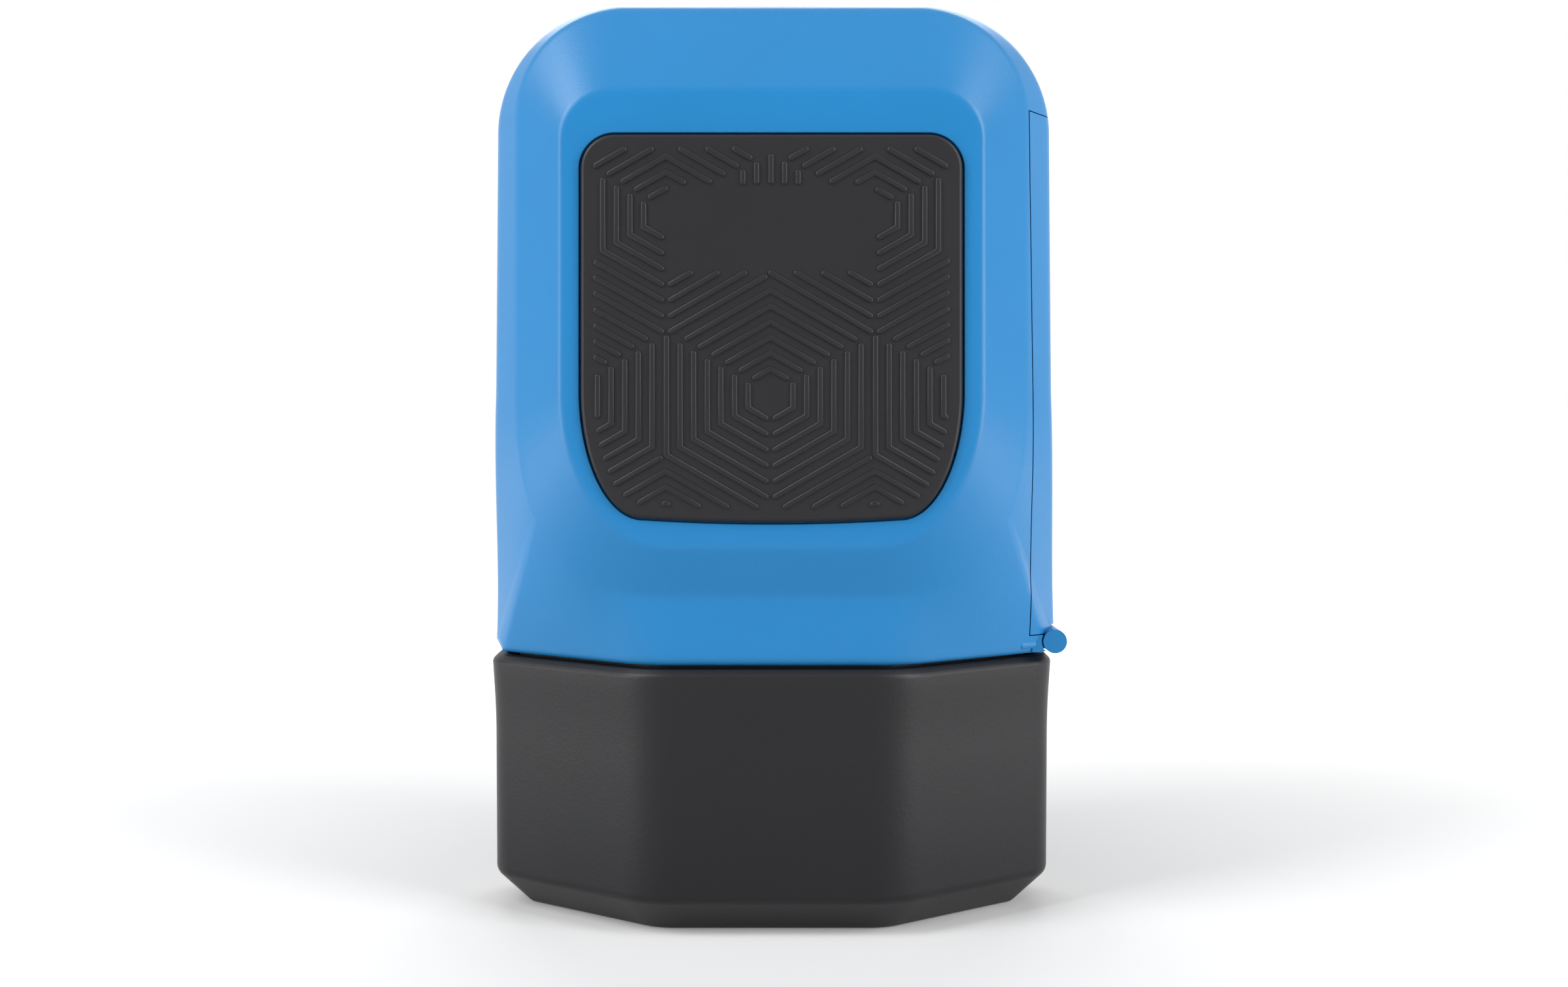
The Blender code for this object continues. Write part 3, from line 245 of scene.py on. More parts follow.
def superellipse(centre, width, height, power, start, end, count):
    """Lower right quarter: x = w sin(a)^(2/p), z = -h cos(a)^(2/p) about the centre, a from start to end."""
    angle = np.radians(start + (end - start) * np.arange(count) / count)
    x = centre[0] + width * np.sin(angle) ** (2.0 / power)
    z = centre[1] - height * np.cos(angle) ** (2.0 / power)
    return np.column_stack([x, z])


def top_arc(centre, radius, count):
    """Upper right quarter circle from the side to the top."""
    angle = 0.5 * math.pi * np.arange(count) / count
    return np.column_stack([centre[0] + radius * np.cos(angle), centre[1] + radius * np.sin(angle)])


def half_loop(foot, side, bottom, top, radius, power, counts):
    """Right half of a rounded outline as rows of (x, z), bottom middle to top middle."""
    turn = 90.0 * counts[1] / (counts[1] + counts[2])
    centre = (foot, CORNER_START)
    width = side - foot
    height = CORNER_START - bottom
    return np.vstack([
        spaced((0.0, bottom), (foot, bottom), counts[0]),
        superellipse(centre, width, height, power, 0.0, turn, counts[1]),
        superellipse(centre, width, height, power, turn, 90.0, counts[2]),
        spaced((side, CORNER_START), (side, top - radius), counts[3]),
        top_arc((side - radius, top - radius), radius, counts[4]),
        spaced((side - radius, top), (0.0, top), counts[5]),
        [(0.0, top)],
    ])


# Heights and half widths of the raised field, its bevel's outer ridge and the housing's outline
CORNER_START = 52.9 * MM
FIELD_PROUD = 2.0 * MM
FIELD = {"foot": 10.1 * MM, "side": 20.2 * MM, "bottom": 37.9 * MM, "top": 81.6 * MM,
         "radius": 4.8 * MM, "power": 2.0}
RIDGE = {"side": 25.0 * MM, "bottom": 33.1 * MM, "top": 90.5 * MM, "radius": 10.6 * MM, "power": 2.5}
RIDGE_SIDE_DEPTH = 2.5 * MM
RIDGE_TOP_DEPTH = 3.0 * MM
OUTLINE_HALF_WIDTH = 27.8 * MM
OUTLINE_TOP_HALF_WIDTH = 27.6 * MM
OUTLINE_TOP_RADIUS = 12.4 * MM
OUTLINE_FOOT_RADIUS = 1.0 * MM
OUTLINE_SIDE_DEPTH = 7.0 * MM
OUTLINE_TOP_DEPTH = 3.8 * MM
FLANK_CROWN = 0.25 * MM
RIGHT_FLANK_PROUD = 0.4 * MM
RIGHT_FOOT_FLARE = 0.4 * MM
WALL = 1.8 * MM

# Shares of the wall by which the room's outlines move sideways or back, so that the wall stays even
FIELD_WALL_SHARE = 0.4
RIDGE_WALL_SHARE = 0.64
EDGE_WALL_SHARE = 0.3
ROOM_FOOT_RADIUS = 0.3 * MM

# How far a tool shape runs past what it cuts or joins
OVERRUN = 1.0 * MM


def field_loop(inset, counts):
    """The raised field's edge as rows of (x, z, depth); the inset draws it in and back."""
    share = FIELD_WALL_SHARE * inset
    xz = half_loop(FIELD["foot"], FIELD["side"] - share, FIELD["bottom"] + share, FIELD["top"] - share,
                   FIELD["radius"], FIELD["power"], counts)
    return np.column_stack([xz, np.full(len(xz), inset - FIELD_PROUD)])


def ridge_loop(sizes, inset, counts):
    """The bevel's outer edge; its depth eases back round the lower corner and again round the top one."""
    xz = half_loop(flat_end(sizes), RIDGE["side"], RIDGE["bottom"], RIDGE["top"], RIDGE["radius"],
                   RIDGE["power"], counts)
    index = np.arange(len(xz))
    corner = counts[1] + counts[2]
    low = ease((index - counts[0]) / corner)
    high = np.clip((index - counts[0] - corner - counts[3]) / counts[4], 0.0, 1.0)
    depth = RIDGE_SIDE_DEPTH * low + (RIDGE_TOP_DEPTH - RIDGE_SIDE_DEPTH) * high
    depth += inset * (1.0 + (RIDGE_WALL_SHARE - 1.0) * low)
    x = xz[:, 0] * (1.0 - inset * RIDGE_WALL_SHARE / RIDGE["side"])
    z = np.minimum(xz[:, 1], RIDGE["top"] - inset)
    return np.column_stack([x, z, depth])


def outline_loop(sizes, inset, foot_z, foot_radius, counts):
    """The housing's outer edge: along the plan section's foot, up the flank and over the roof."""
    quarter = quarter_section(sizes, inset)[:-1]
    half = sizes.half_width - inset
    corner = half - foot_radius
    start = flat_end(sizes)
    foot_x = np.concatenate([start * np.arange(counts[0]) / counts[0],
                             start + (corner - start) * np.arange(counts[1] + 1) / counts[1]])
    foot_depth = np.interp(foot_x, quarter[:, 0], quarter[:, 1])
    foot = np.column_stack([foot_x, np.full(len(foot_x), foot_z), foot_depth])
    side_depth = OUTLINE_SIDE_DEPTH + EDGE_WALL_SHARE * inset
    side_x = OUTLINE_HALF_WIDTH - inset
    low_z = BODY_BOTTOM + foot_radius
    share = np.arange(counts[2] - 1) / (counts[2] - 1)
    climb = np.column_stack([half + (side_x - half) * share, low_z + (CORNER_START - low_z) * share,
                             quarter[-1, 1] + (side_depth - quarter[-1, 1]) * ease(share)])
    shoulder = BODY_TOP - OUTLINE_TOP_RADIUS
    top_x = OUTLINE_TOP_HALF_WIDTH - inset
    side = spaced((side_x, CORNER_START, side_depth), (top_x, shoulder, side_depth), counts[3])
    radius = OUTLINE_TOP_RADIUS - inset
    top_depth = OUTLINE_TOP_DEPTH + EDGE_WALL_SHARE * inset
    arc = top_arc((top_x - radius, shoulder), radius, counts[4])
    arc_depth = side_depth + (top_depth - side_depth) * np.arange(counts[4]) / counts[4]
    top = shoulder + radius
    roof = spaced((top_x - radius, top, top_depth), (0.0, top, top_depth), counts[5])
    return np.vstack([foot, climb, side, np.column_stack([arc, arc_depth]), roof, [(0.0, top, top_depth)]])


def whole(half):
    """A closed ring from its right half: the left half is the right one mirrored, without the two ends."""
    return np.vstack([half, half[-2:0:-1] * (-1.0, 1.0, 1.0)])


def stand_proud(ring):
    """Moves the right flank out a little, and a little more towards the foot, as the door's side is."""
    x = ring[:, 0]
    reach = np.clip(x / OUTLINE_HALF_WIDTH, 0.0, 1.0)
    low = ease((CORNER_START - ring[:, 1]) / (CORNER_START - BODY_BOTTOM))
    moved = x + reach * (RIGHT_FLANK_PROUD + RIGHT_FOOT_FLARE * low)
    return np.column_stack([moved, ring[:, 1:]])


def on_side(sizes, ring, side):
    """World points of a ring of (x, z, depth) on the front or the rear."""
    return np.column_stack([ring[:, 0], side * (sizes.half_depth - ring[:, 2]), ring[:, 1]])


def all_round(sizes, rings, middle):
    """World rings from front to rear: the rings, the middle one, and the rings the other way round."""
    front = [on_side(sizes, ring, FRONT) for ring in rings]
    rear = [on_side(sizes, ring, REAR) for ring in reversed(rings)]
    return front + [on_side(sizes, middle, FRONT)] + rear


def at_y(outline, y):
    """World points of an outline of (x, z) at one y."""
    return np.column_stack([outline[:, 0], np.full(len(outline), y), outline[:, 1]])


def rounded_rows(rings, reaches):
    """Rows across a list of rings, with the crease at each inner ring rounded.

    Between creases a row is a straight mix of two rings. A crease is the quadratic curve
    (1-t)^2 a + 2 t (1-t) p + t^2 b through its two tangent points a and b, at most
    CREASE_SHARE of the way to the next ring.
    """
    rows = [rings[0]]
    for here in range(1, len(rings)):
        place = rings[here]
        if here == len(rings) - 1:
            target = place
        else:
            back = rings[here - 1] - place
            ahead = rings[here + 1] - place
            back_length = np.linalg.norm(back, axis=1, keepdims=True)
            ahead_length = np.linalg.norm(ahead, axis=1, keepdims=True)
            reach = np.minimum(reaches[here], CREASE_SHARE * np.minimum(back_length, ahead_length))
            target = place + back / back_length * reach
            leave = place + ahead / ahead_length * reach
        last = rows[-1]
        for step in range(1, FLAT_ROWS + 1):
            rows.append(last + (target - last) * step / FLAT_ROWS)
        if here < len(rings) - 1:
            for step in range(1, BEND_ROWS + 1):
                t = step / BEND_ROWS
                rows.append((1.0 - t) ** 2 * target + 2.0 * t * (1.0 - t) * place + t * t * leave)
    return rows


def ring_quads(levels, count, closed_rows=False):
    """Corner numbers of the quads between closed rows of points, with the last and first joined if closed."""
    level = np.arange(levels if closed_rows else levels - 1)[:, None]
    step = np.arange(count)[None, :]
    after = (step + 1) % count
    above = (level + 1) % levels
    return np.stack([level * count + step, level * count + after,
                     above * count + after, above * count + step], axis=-1).reshape(-1, 4)


def row_part(rows, flip=False, closed_rows=False):
    """Points, quads and end faces of a stack of closed rows; closed rows meet at their ends, so have none."""
    count = len(rows[0])
    quads = ring_quads(len(rows), count, closed_rows)
    first = np.arange(count)[::-1]
    last = (len(rows) - 1) * count + np.arange(count)
    if flip:
        quads, first, last = quads[:, ::-1], first[::-1], last[::-1]
    return np.vstack(rows), quads, () if closed_rows else (first, last)


def joined_mesh(name, parts):
    """One mesh from parts of (points, quads, end faces)."""
    faces = []
    base = 0
    for points, quads, ends in parts:
        faces += (quads + base).tolist()
        faces += [(end + base).tolist() for end in ends]
        base += len(points)
    mesh = bpy.data.meshes.new(name)
    mesh.from_pydata(np.vstack([points for points, _, _ in parts]).tolist(), [], faces)
    return mesh


def grid_mesh(name, rows, closed_rows=False):
    """A mesh through equal closed rows of points: quads between neighbours and, unless closed, two ends."""
    return joined_mesh(name, [row_part(rows, closed_rows=closed_rows)])


def signed_volume(mesh):
    """Six times the volume inside a closed mesh, negative where its faces point inwards."""
    mesh.calc_loop_triangles()
    corners = np.empty(len(mesh.loop_triangles) * 3, dtype=np.int32)
    mesh.loop_triangles.foreach_get("vertices", corners)
    places = np.empty(len(mesh.vertices) * 3)
    mesh.vertices.foreach_get("co", places)
    a, b, c = places.reshape(-1, 3)[corners.reshape(-1, 3)].transpose(1, 0, 2)
    return float(np.einsum("ij,ij->i", a, np.cross(b, c)).sum())


def add_piece(name, mesh, material=None):
    """An object at the origin with its faces outwards and its shading smooth but for true edges."""
    if signed_volume(mesh) < 0.0:
        mesh.flip_normals()
    mesh.shade_smooth()
    mesh.set_sharp_from_angle(angle=SHARP_ANGLE)
    if material is not None:
        mesh.materials.append(material)
    piece = bpy.data.objects.new(name, mesh)
    bpy.context.scene.collection.objects.link(piece)
    return piece


def combine(target, steps):
    """Applies Boolean steps of (mesh, operation) to a piece, one after the other."""
    for index, (mesh, operation) in enumerate(steps):
        tool = add_piece(f"tool_{index}", mesh)
        step = target.modifiers.new("step", "BOOLEAN")
        step.solver = "EXACT"
        step.operation = operation
        step.object = tool
        graph = bpy.context.evaluated_depsgraph_get()
        result = bpy.data.meshes.new_from_object(target.evaluated_get(graph))
        target.modifiers.clear()
        target.data = result
        bpy.data.objects.remove(tool, do_unlink=True)
    target.data.shade_smooth()
    target.data.set_sharp_from_angle(angle=SHARP_ANGLE)


def block(name, low, high):
    """A closed box mesh between two corners, as a one-step loft of its lower and upper rings."""
    x = [low[0], high[0], high[0], low[0]]
    y = [low[1], low[1], high[1], high[1]]
    return grid_mesh(name, [np.column_stack([x, y, np.full(4, z)]) for z in (low[2], high[2])])


def prism(name, outline, start, end):
    """A closed outline of (x, z) carried along Y from start to end."""
    outline = np.asarray(outline)
    return grid_mesh(name, [at_y(outline, y) for y in (start, end)])


def disc_outline(radius, count=48, first=0.0, sweep=2.0 * math.pi):
    """Points (x, z) of an arc about the hinge axis."""
    angle = first + sweep * np.arange(count) / count
    return np.column_stack([HINGE_X + radius * np.cos(angle), HINGE_Z + radius * np.sin(angle)])


# Grip pad outline and the pocket that holds it
PAD_FOOT_HALF_WIDTH = 12.3 * MM
PAD_BOW = 0.4 * MM
PAD_TOP_RADIUS = 3.2 * MM
PAD_POWER = 2.0
PAD_EDGE_ROUND = 0.4 * MM
POCKET_DEPTH = 1.0 * MM
POCKET_CLEARANCE = 0.2 * MM
POCKET_LIP = 0.12 * MM
POCKET_FLOOR_ROUND = 0.05 * MM
OUTLINE_ROUND = 1.1 * MM
FLANK_ROUND = 6.0 * MM
PAD_HALF_WIDTH = PAD_HIGH[0]
PAD_TOP = PAD_HIGH[2]
PAD_BOTTOM = PAD_LOW[2] + PAD_BOW


def pad_loop(grow, depth, counts):
    """The pad's edge as rows of (x, z, depth), with the slight bow of its lower side."""
    xz = half_loop(PAD_FOOT_HALF_WIDTH, PAD_HALF_WIDTH + grow, PAD_BOTTOM - grow, PAD_TOP + grow,
                   PAD_TOP_RADIUS + grow, PAD_POWER, counts)
    bow = PAD_BOW * np.clip(1.0 - (xz[:, 0] / PAD_FOOT_HALF_WIDTH) ** 2, 0.0, None)
    z = np.where(xz[:, 1] < CORNER_START, xz[:, 1] - bow, xz[:, 1])
    return np.column_stack([xz[:, 0], z, np.full(len(xz), depth)])


def housing_form(sizes, name):
    """The housing's outer form: pocket, field, bevel, side facets and flank, front and rear alike."""
    counts = LOOP_COUNTS
    floor = POCKET_DEPTH - FIELD_PROUD
    field = -FIELD_PROUD
    start_ring = whole(pad_loop(-OVERRUN, floor, counts))
    halves = [
        pad_loop(POCKET_CLEARANCE, floor, counts),
        pad_loop(POCKET_CLEARANCE, field, counts),
        field_loop(0.0, counts),
        ridge_loop(sizes, 0.0, counts),
        outline_loop(sizes, 0.0, BODY_BOTTOM, OUTLINE_FOOT_RADIUS, counts),
    ]
    rings = [start_ring] + [whole(half) for half in halves]
    rings[-1] = stand_proud(rings[-1])
    middle = rings[-1].copy()
    above = middle[:, 1] > BODY_BOTTOM
    middle[:, 0] += np.where(above, FLANK_CROWN, 0.0) * np.clip(middle[:, 0] / OUTLINE_HALF_WIDTH, -1.0, 1.0)
    middle[:, 2] = sizes.half_depth
    reach = [0.0, POCKET_FLOOR_ROUND, POCKET_LIP, sizes.crease, sizes.crease, OUTLINE_ROUND]
    reaches = reach + [FLANK_ROUND] + reach[::-1]
    return grid_mesh(name, rounded_rows(all_round(sizes, rings, middle), reaches))


def room_form(sizes, name):
    """The room inside the housing, open below: the outer form drawn in by the wall."""
    counts = INNER_COUNTS
    halves = [
        field_loop(WALL, counts),
        ridge_loop(sizes, WALL, counts),
        outline_loop(sizes, WALL, BODY_BOTTOM - OVERRUN, ROOM_FOOT_RADIUS, counts),
    ]
    rings = [whole(half) for half in halves]
    middle = rings[-1].copy()
    middle[:, 2] = sizes.half_depth
    return grid_mesh(name, all_round(sizes, rings, middle))


# Door and hinge
DOOR_EDGE_TOP_X = 25.2 * MM
DOOR_EDGE_BOTTOM_X = 26.1 * MM
DOOR_TOP_GAP = 0.3 * MM
DOOR_TOP = DOOR_HIGH[2] + DOOR_TOP_GAP
DOOR_FOOT = 28.3 * MM
HINGE_RADIUS = 1.2 * MM
DOORWAY_END_X = HINGE_X + 3.0 * HINGE_RADIUS
HINGE_HALF_LENGTH = 7.2 * MM
LUG_HALF_LENGTH = 3.6 * MM
HINGE_RELIEF = 0.2 * MM
SILL_INNER_X = 26.55 * MM
SILL_STEP = 0.2 * MM
BEAD_START = (25.3 * MM, 7.9 * MM)
BEAD_END = (27.4 * MM, 6.4 * MM)
BEAD_HEIGHT = 27.4 * MM
BEAD_RADIUS = 0.48 * MM
BEAD_END_DEGREES = -85.0
PIN_BORE_RADIUS = 0.55 * MM
PIN_END_ROOM = 0.05 * MM
LATCH_DROP = 1.9 * MM
LATCH_REACH = 1.0 * MM
LATCH_HALF_LENGTH = 3.0 * MM
LATCH_HEIGHT = 0.8 * MM
SMALL_ROUND_STEPS = 24


def doorway_form(sizes, name, gap):
    """The block between housing and door, with a slanted inner side and drawn in by the gap."""
    low = DOOR_FOOT + gap
    high = DOOR_TOP - gap
    outline = [(DOOR_EDGE_BOTTOM_X + gap, low), (DOORWAY_END_X, low), (DOORWAY_END_X, high),
               (DOOR_EDGE_TOP_X + gap, high)]
    return prism(name, outline, -sizes.half_depth, sizes.half_depth)


def lug_outline():
    """The fixed middle lug: its root in the sill and its round about the hinge axis."""
    root = SILL_INNER_X + SILL_STEP
    arc = disc_outline(HINGE_RADIUS, SMALL_ROUND_STEPS, -0.5 * math.pi, math.pi)
    top = [(HINGE_X, HINGE_Z + HINGE_RADIUS), (root, DOOR_FOOT - SILL_STEP)]
    return np.vstack([[(root, BODY_BOTTOM + SILL_STEP)], arc, top])


def hinge_bead(name, side):
    """The bead at a side facet's foot: p = line + R (cos a * across + sin a * up), half round at its ends."""
    start = np.array([BEAD_START[0], side * BEAD_START[1], BEAD_HEIGHT])
    end = np.array([BEAD_END[0], side * BEAD_END[1], BEAD_HEIGHT])
    along = unit(end - start)
    across = np.array([along[1], -along[0], 0.0])
    up = np.array([0.0, 0.0, 1.0])
    angle = np.linspace(0.0, 2.0 * math.pi, SMALL_ROUND_STEPS, endpoint=False)[:, None]
    round_step = np.radians(np.linspace(BEAD_END_DEGREES, 0.0, BEND_ROWS + 1))
    spine = np.vstack([start + np.outer(np.sin(round_step), along) * BEAD_RADIUS,
                       end - np.outer(np.sin(round_step[::-1]), along) * BEAD_RADIUS])
    girth = BEAD_RADIUS * np.concatenate([np.cos(round_step), np.cos(round_step[::-1])])
    circle = np.cos(angle) * across + np.sin(angle) * up
    return grid_mesh(name, spine[:, None, :] + girth[:, None, None] * circle[None, :, :])


def build_housing(sizes, material):
    """The outer form less its room, with the sill and lug of the door's hinge and a bead at either facet."""
    housing = add_piece("housing_skin", housing_form(sizes, "housing_skin"), material)
    reach = HINGE_HALF_LENGTH + sizes.door_gap
    relief = disc_outline(HINGE_RADIUS + HINGE_RELIEF)
    bore = disc_outline(PIN_BORE_RADIUS, SMALL_ROUND_STEPS)
    combine(housing, [
        (room_form(sizes, "room"), "DIFFERENCE"),
        (block("sill", (SILL_INNER_X, -reach, BODY_BOTTOM + SILL_STEP),
               (HINGE_X - HINGE_RADIUS, reach, DOOR_FOOT + OVERRUN)), "UNION"),
        (doorway_form(sizes, "doorway", 0.0), "DIFFERENCE"),
        (prism("barrel_room", relief, -reach, reach), "DIFFERENCE"),
        (prism("lug", lug_outline(), -LUG_HALF_LENGTH, LUG_HALF_LENGTH), "UNION"),
        (prism("bore", bore, -reach, reach), "DIFFERENCE"),
        (hinge_bead("front_bead", FRONT), "UNION"),
        (hinge_bead("rear_bead", REAR), "UNION"),
    ])
    return housing


def build_door(sizes, material):
    """The part of the housing's wall that stands in the doorway, with its latch and its two knuckles."""
    door = add_piece("door_skin", housing_form(sizes, "door_skin"), material)
    lug_reach = LUG_HALF_LENGTH + sizes.door_gap
    wall_x = OUTLINE_TOP_HALF_WIDTH - 0.5 * WALL
    latch_low = DOOR_TOP - LATCH_DROP
    steps = [
        (room_form(sizes, "door_room"), "DIFFERENCE"),
        (doorway_form(sizes, "door_block", sizes.door_gap), "INTERSECT"),
        (prism("lug_room", disc_outline(HINGE_RADIUS + HINGE_RELIEF), -lug_reach, lug_reach), "DIFFERENCE"),
        (block("latch", (wall_x - WALL - LATCH_REACH, -LATCH_HALF_LENGTH, latch_low),
               (wall_x, LATCH_HALF_LENGTH, latch_low + LATCH_HEIGHT)), "UNION"),
    ]
    for side in (FRONT, REAR):
        ends = sorted((side * lug_reach, side * HINGE_HALF_LENGTH))
        steps.append((prism(f"knuckle_{side}", disc_outline(HINGE_RADIUS), ends[0], ends[1]), "UNION"))
    bore = disc_outline(PIN_BORE_RADIUS, SMALL_ROUND_STEPS)
    steps.append((prism("pin_bore", bore, PIN_LOW[1] - PIN_END_ROOM, PIN_HIGH[1] + PIN_END_ROOM),
                  "DIFFERENCE"))
    combine(door, steps)
    return door


# Cap
CAP_CHAMFER = 3.6 * MM
CAP_RIM_CHAMFER = 0.65 * MM
CAP_FLARE = 0.35 * MM
CAP_FLARE_HEIGHT = 6.0 * MM
CAP_DRAFT = 0.1 * MM
CAP_WALL = 1.5 * MM
CAP_FLOOR = 1.8 * MM
CAP_GROW = 0.3 * MM
CAP_BASE_INSET = 4.0 * MM


def build_cap(sizes, material):
    """The cap as rings of the plan section: underside, chamfer, wall, rim, then down inside to the floor."""
    height = CAP_HIGH[2]
    flare_base = height - CAP_FLARE_HEIGHT
    foot = CAP_DRAFT + CAP_FLARE - CAP_GROW
    # Each ring's inset and height, and how far its crease is rounded
    levels = [
        (foot + CAP_CHAMFER + CAP_BASE_INSET, 0.0, 0.0),
        (foot + CAP_CHAMFER, 0.0, 0.5 * MM),
        (foot, CAP_CHAMFER, 0.6 * MM),
        (CAP_FLARE - CAP_GROW, flare_base, 3.0 * MM),
        (-CAP_GROW, height - CAP_RIM_CHAMFER, 0.3 * MM),
        (CAP_RIM_CHAMFER - CAP_GROW, height, 0.15 * MM),
        (CAP_WALL - CAP_GROW, height, 0.15 * MM),
        (CAP_FLARE + CAP_WALL - CAP_GROW, flare_base, 1.0 * MM),
        (foot + CAP_WALL, CAP_CHAMFER + CAP_WALL, 0.8 * MM),
        (foot + CAP_WALL + 0.5 * CAP_CHAMFER, CAP_FLOOR, 0.8 * MM),
        (foot + CAP_WALL + CAP_CHAMFER, CAP_FLOOR, 0.0),
    ]
    rings = [section_ring(sizes, inset, z) for inset, z, _ in levels]
    rows = rounded_rows(rings, [reach for _, _, reach in levels])
    return add_piece("cap_skin", grid_mesh("cap_skin", rows), material)


# Print sleeve, inking foam and felt
STROKES_AROUND = 32.0
STROKE_ROW = 1.9 * MM
STROKE_LEAN = 0.8
STROKE_HALF_WIDTH = 0.27
STROKE_HALF_LENGTH = 0.4
PRINT_GRID = (264, 150)
SLEEVE_WALL = 1.5 * MM
FOAM_EDGE_ROUND = 0.5 * MM
FOAM_SEAT = 0.15 * MM
FOAM_GRID = (200, 130)
PORE_ROUND_WAVE = (47.0, 2.5, 31.0)
PORE_LONG_WAVE = (190.0, 2.0, 9.0)
PORE_SLANTS = ((29.0, -120.0), (13.0, 160.0))
PORE_MEAN = 0.5
PORE_SWING = 0.4
FELT_SQUARENESS = 14.0
FELT_POLE = 0.02
FELT_GRID = (240, 60)
NUB_SLANTS = ((61.0, 5.0), (-11.0, 37.0))

# Ribs of the grip pads
LATTICE_X = -0.1 * MM
LATTICE_Z = 52.5 * MM
FIRST_APOTHEM = 2.13 * MM
RIB_MARGIN = 1.45 * MM
RIB_END_GAP = 0.45 * MM
BARE_HALF_WIDTH = 10.1 * MM
BARE_LOW = 64.1 * MM
BARE_HIGH = 72.7 * MM
TEST_STEP = 0.1 * MM
LATTICE_ROOM = 0.08 * MM
LATTICE_ROWS = range(-1, 3)
LATTICE_COLUMNS = range(-2, 3)
MOST_PULL_SHARE = 0.9
RIB_END_STEPS = 5
FEWEST_POINTS = 4
RIB_FOOT = 0.1 * MM
PAD_COUNTS = (8, 30, 20, 12, 20, 8)
EDGE_COUNTS = (4, 24, 16, 6, 12, 4)
PAD_ROUND_STEPS = 6

# Each ring of a rib above its foot: share of the rib's height, and how far its outline is drawn in
RIB_PROFILE = ((0.45, 0.0), (0.85, 0.07 * MM), (1.0, 0.16 * MM))


def pad_polygon(grow):
    """The pad's edge, moved out by grow, as a closed outline of (x, z)."""
    return whole(pad_loop(grow, 0.0, EDGE_COUNTS))[:, :2]


def inside(points, polygon):
    """Even-odd test of points (n, 2) against a closed polygon, over whole arrays."""
    x, z = points[:, 0:1], points[:, 1:2]
    x1, z1 = polygon[:, 0], polygon[:, 1]
    x2, z2 = np.roll(x1, -1), np.roll(z1, -1)
    crosses = (z1 > z) != (z2 > z)
    with np.errstate(divide="ignore", invalid="ignore"):
        at = x1 + (z - z1) * (x2 - x1) / (z2 - z1)
    return (crosses & (x < at)).sum(axis=1) % 2 == 1


def hexagon_paths(sizes, centre):
    """Centre lines of the ribs round one centre: for each ring a roof chevron and two side hooks.

    The outermost ring is shared with the neighbours, which draw its roof and its right upright.
    """
    paths = []
    trim = 0.5 * sizes.rib_width
    for ring in range(sizes.ring_count):
        apothem = FIRST_APOTHEM + ring * sizes.rib_pitch
        side = 2.0 * apothem / math.sqrt(3.0)
        top = np.array([0.0, side])
        for hand in (-1.0, 1.0):
            upper = np.array([hand * apothem, 0.5 * side])
            lower = np.array([hand * apothem, -0.5 * side])
            bottom = np.array([0.0, -side])
            start = upper + (lower - upper) / side * trim
            end = bottom + (lower - bottom) / side * (trim + 0.5 * RIB_END_GAP)
            if ring == sizes.ring_count - 1 and hand > 0.0:
                start = lower + (bottom - lower) / side * 2.0 * trim
                paths.append(np.array([start, 0.5 * (start + end), end]) + centre)
            elif np.linalg.norm(end - bottom) < MOST_PULL_SHARE * side:
                paths.append(np.array([start, lower, end]) + centre)
        if ring == sizes.ring_count - 1:
            continue
        left = np.array([-apothem, 0.5 * side])
        right = np.array([apothem, 0.5 * side])
        pull = (trim + RIB_END_GAP) / side
        paths.append(np.array([left + (top - left) * pull, top, right + (top - right) * pull]) + centre)
    return paths


def kept_stretches(path, polygon):
    """Cuts a path to the stretches that lie on the pad and off its bare place."""
    points = []
    for a, b in zip(path[:-1], path[1:]):
        count = max(2, int(np.linalg.norm(b - a) / TEST_STEP))
        points.append(a + (b - a) * np.linspace(0.0, 1.0, count)[:, None])
    points = np.vstack(points)
    bare = (np.abs(points[:, 0]) < BARE_HALF_WIDTH) & (points[:, 1] > BARE_LOW) & (points[:, 1] < BARE_HIGH)
    keep = inside(points, polygon) & ~bare
    stretches = []
    edges = np.flatnonzero(np.diff(np.concatenate([[0], keep.astype(int), [0]])))
    for start, stop in zip(edges[::2], edges[1::2]):
        part = points[start:stop]
        if len(part) < FEWEST_POINTS:
            continue
        bend = np.linalg.norm(part - path[1], axis=1)
        near = int(bend.argmin())
        if bend[near] < TEST_STEP and 1 < near < len(part) - 2:
            stretches.append(np.array([part[0], path[1], part[-1]]))
        else:
            stretches.append(np.array([part[0], part[-1]]))
    return stretches


def across_of(direction):
    """The direction turned a quarter to its left."""
    return np.array([-direction[1], direction[0]])


def rib_outline(path, half):
    """Closed outline about a path at a distance: mitred at its bend and half round at its ends."""
    ahead = unit(path[1] - path[0])
    behind = unit(path[-1] - path[-2])
    angle = np.linspace(-0.5 * math.pi, 0.5 * math.pi, RIB_END_STEPS + 1)[:, None]
    end_cap = path[-1] + half * (np.cos(angle) * behind + np.sin(angle) * across_of(behind))
    start_cap = path[0] + half * (np.cos(angle) * -ahead + np.sin(angle) * -across_of(ahead))
    pieces = [end_cap]
    if len(path) == 3:
        mitre = across_of(ahead) + across_of(behind)
        mitre = mitre / (mitre @ across_of(ahead)) * half
        pieces += [[path[1] + mitre], start_cap, [path[1] - mitre]]
    else:
        pieces.append(start_cap)
    return np.vstack(pieces)


def rib_rows(sizes, path, face, side):
    """A rib as rings of its outline: foot under the pad's face, upright side, small round, flat top."""
    half = 0.5 * sizes.rib_width
    levels = [(-RIB_FOOT, 0.0)] + [(share * sizes.rib_height, draw) for share, draw in RIB_PROFILE]
    return [at_y(rib_outline(path, half - draw), side * (face + rise)) for rise, draw in levels]


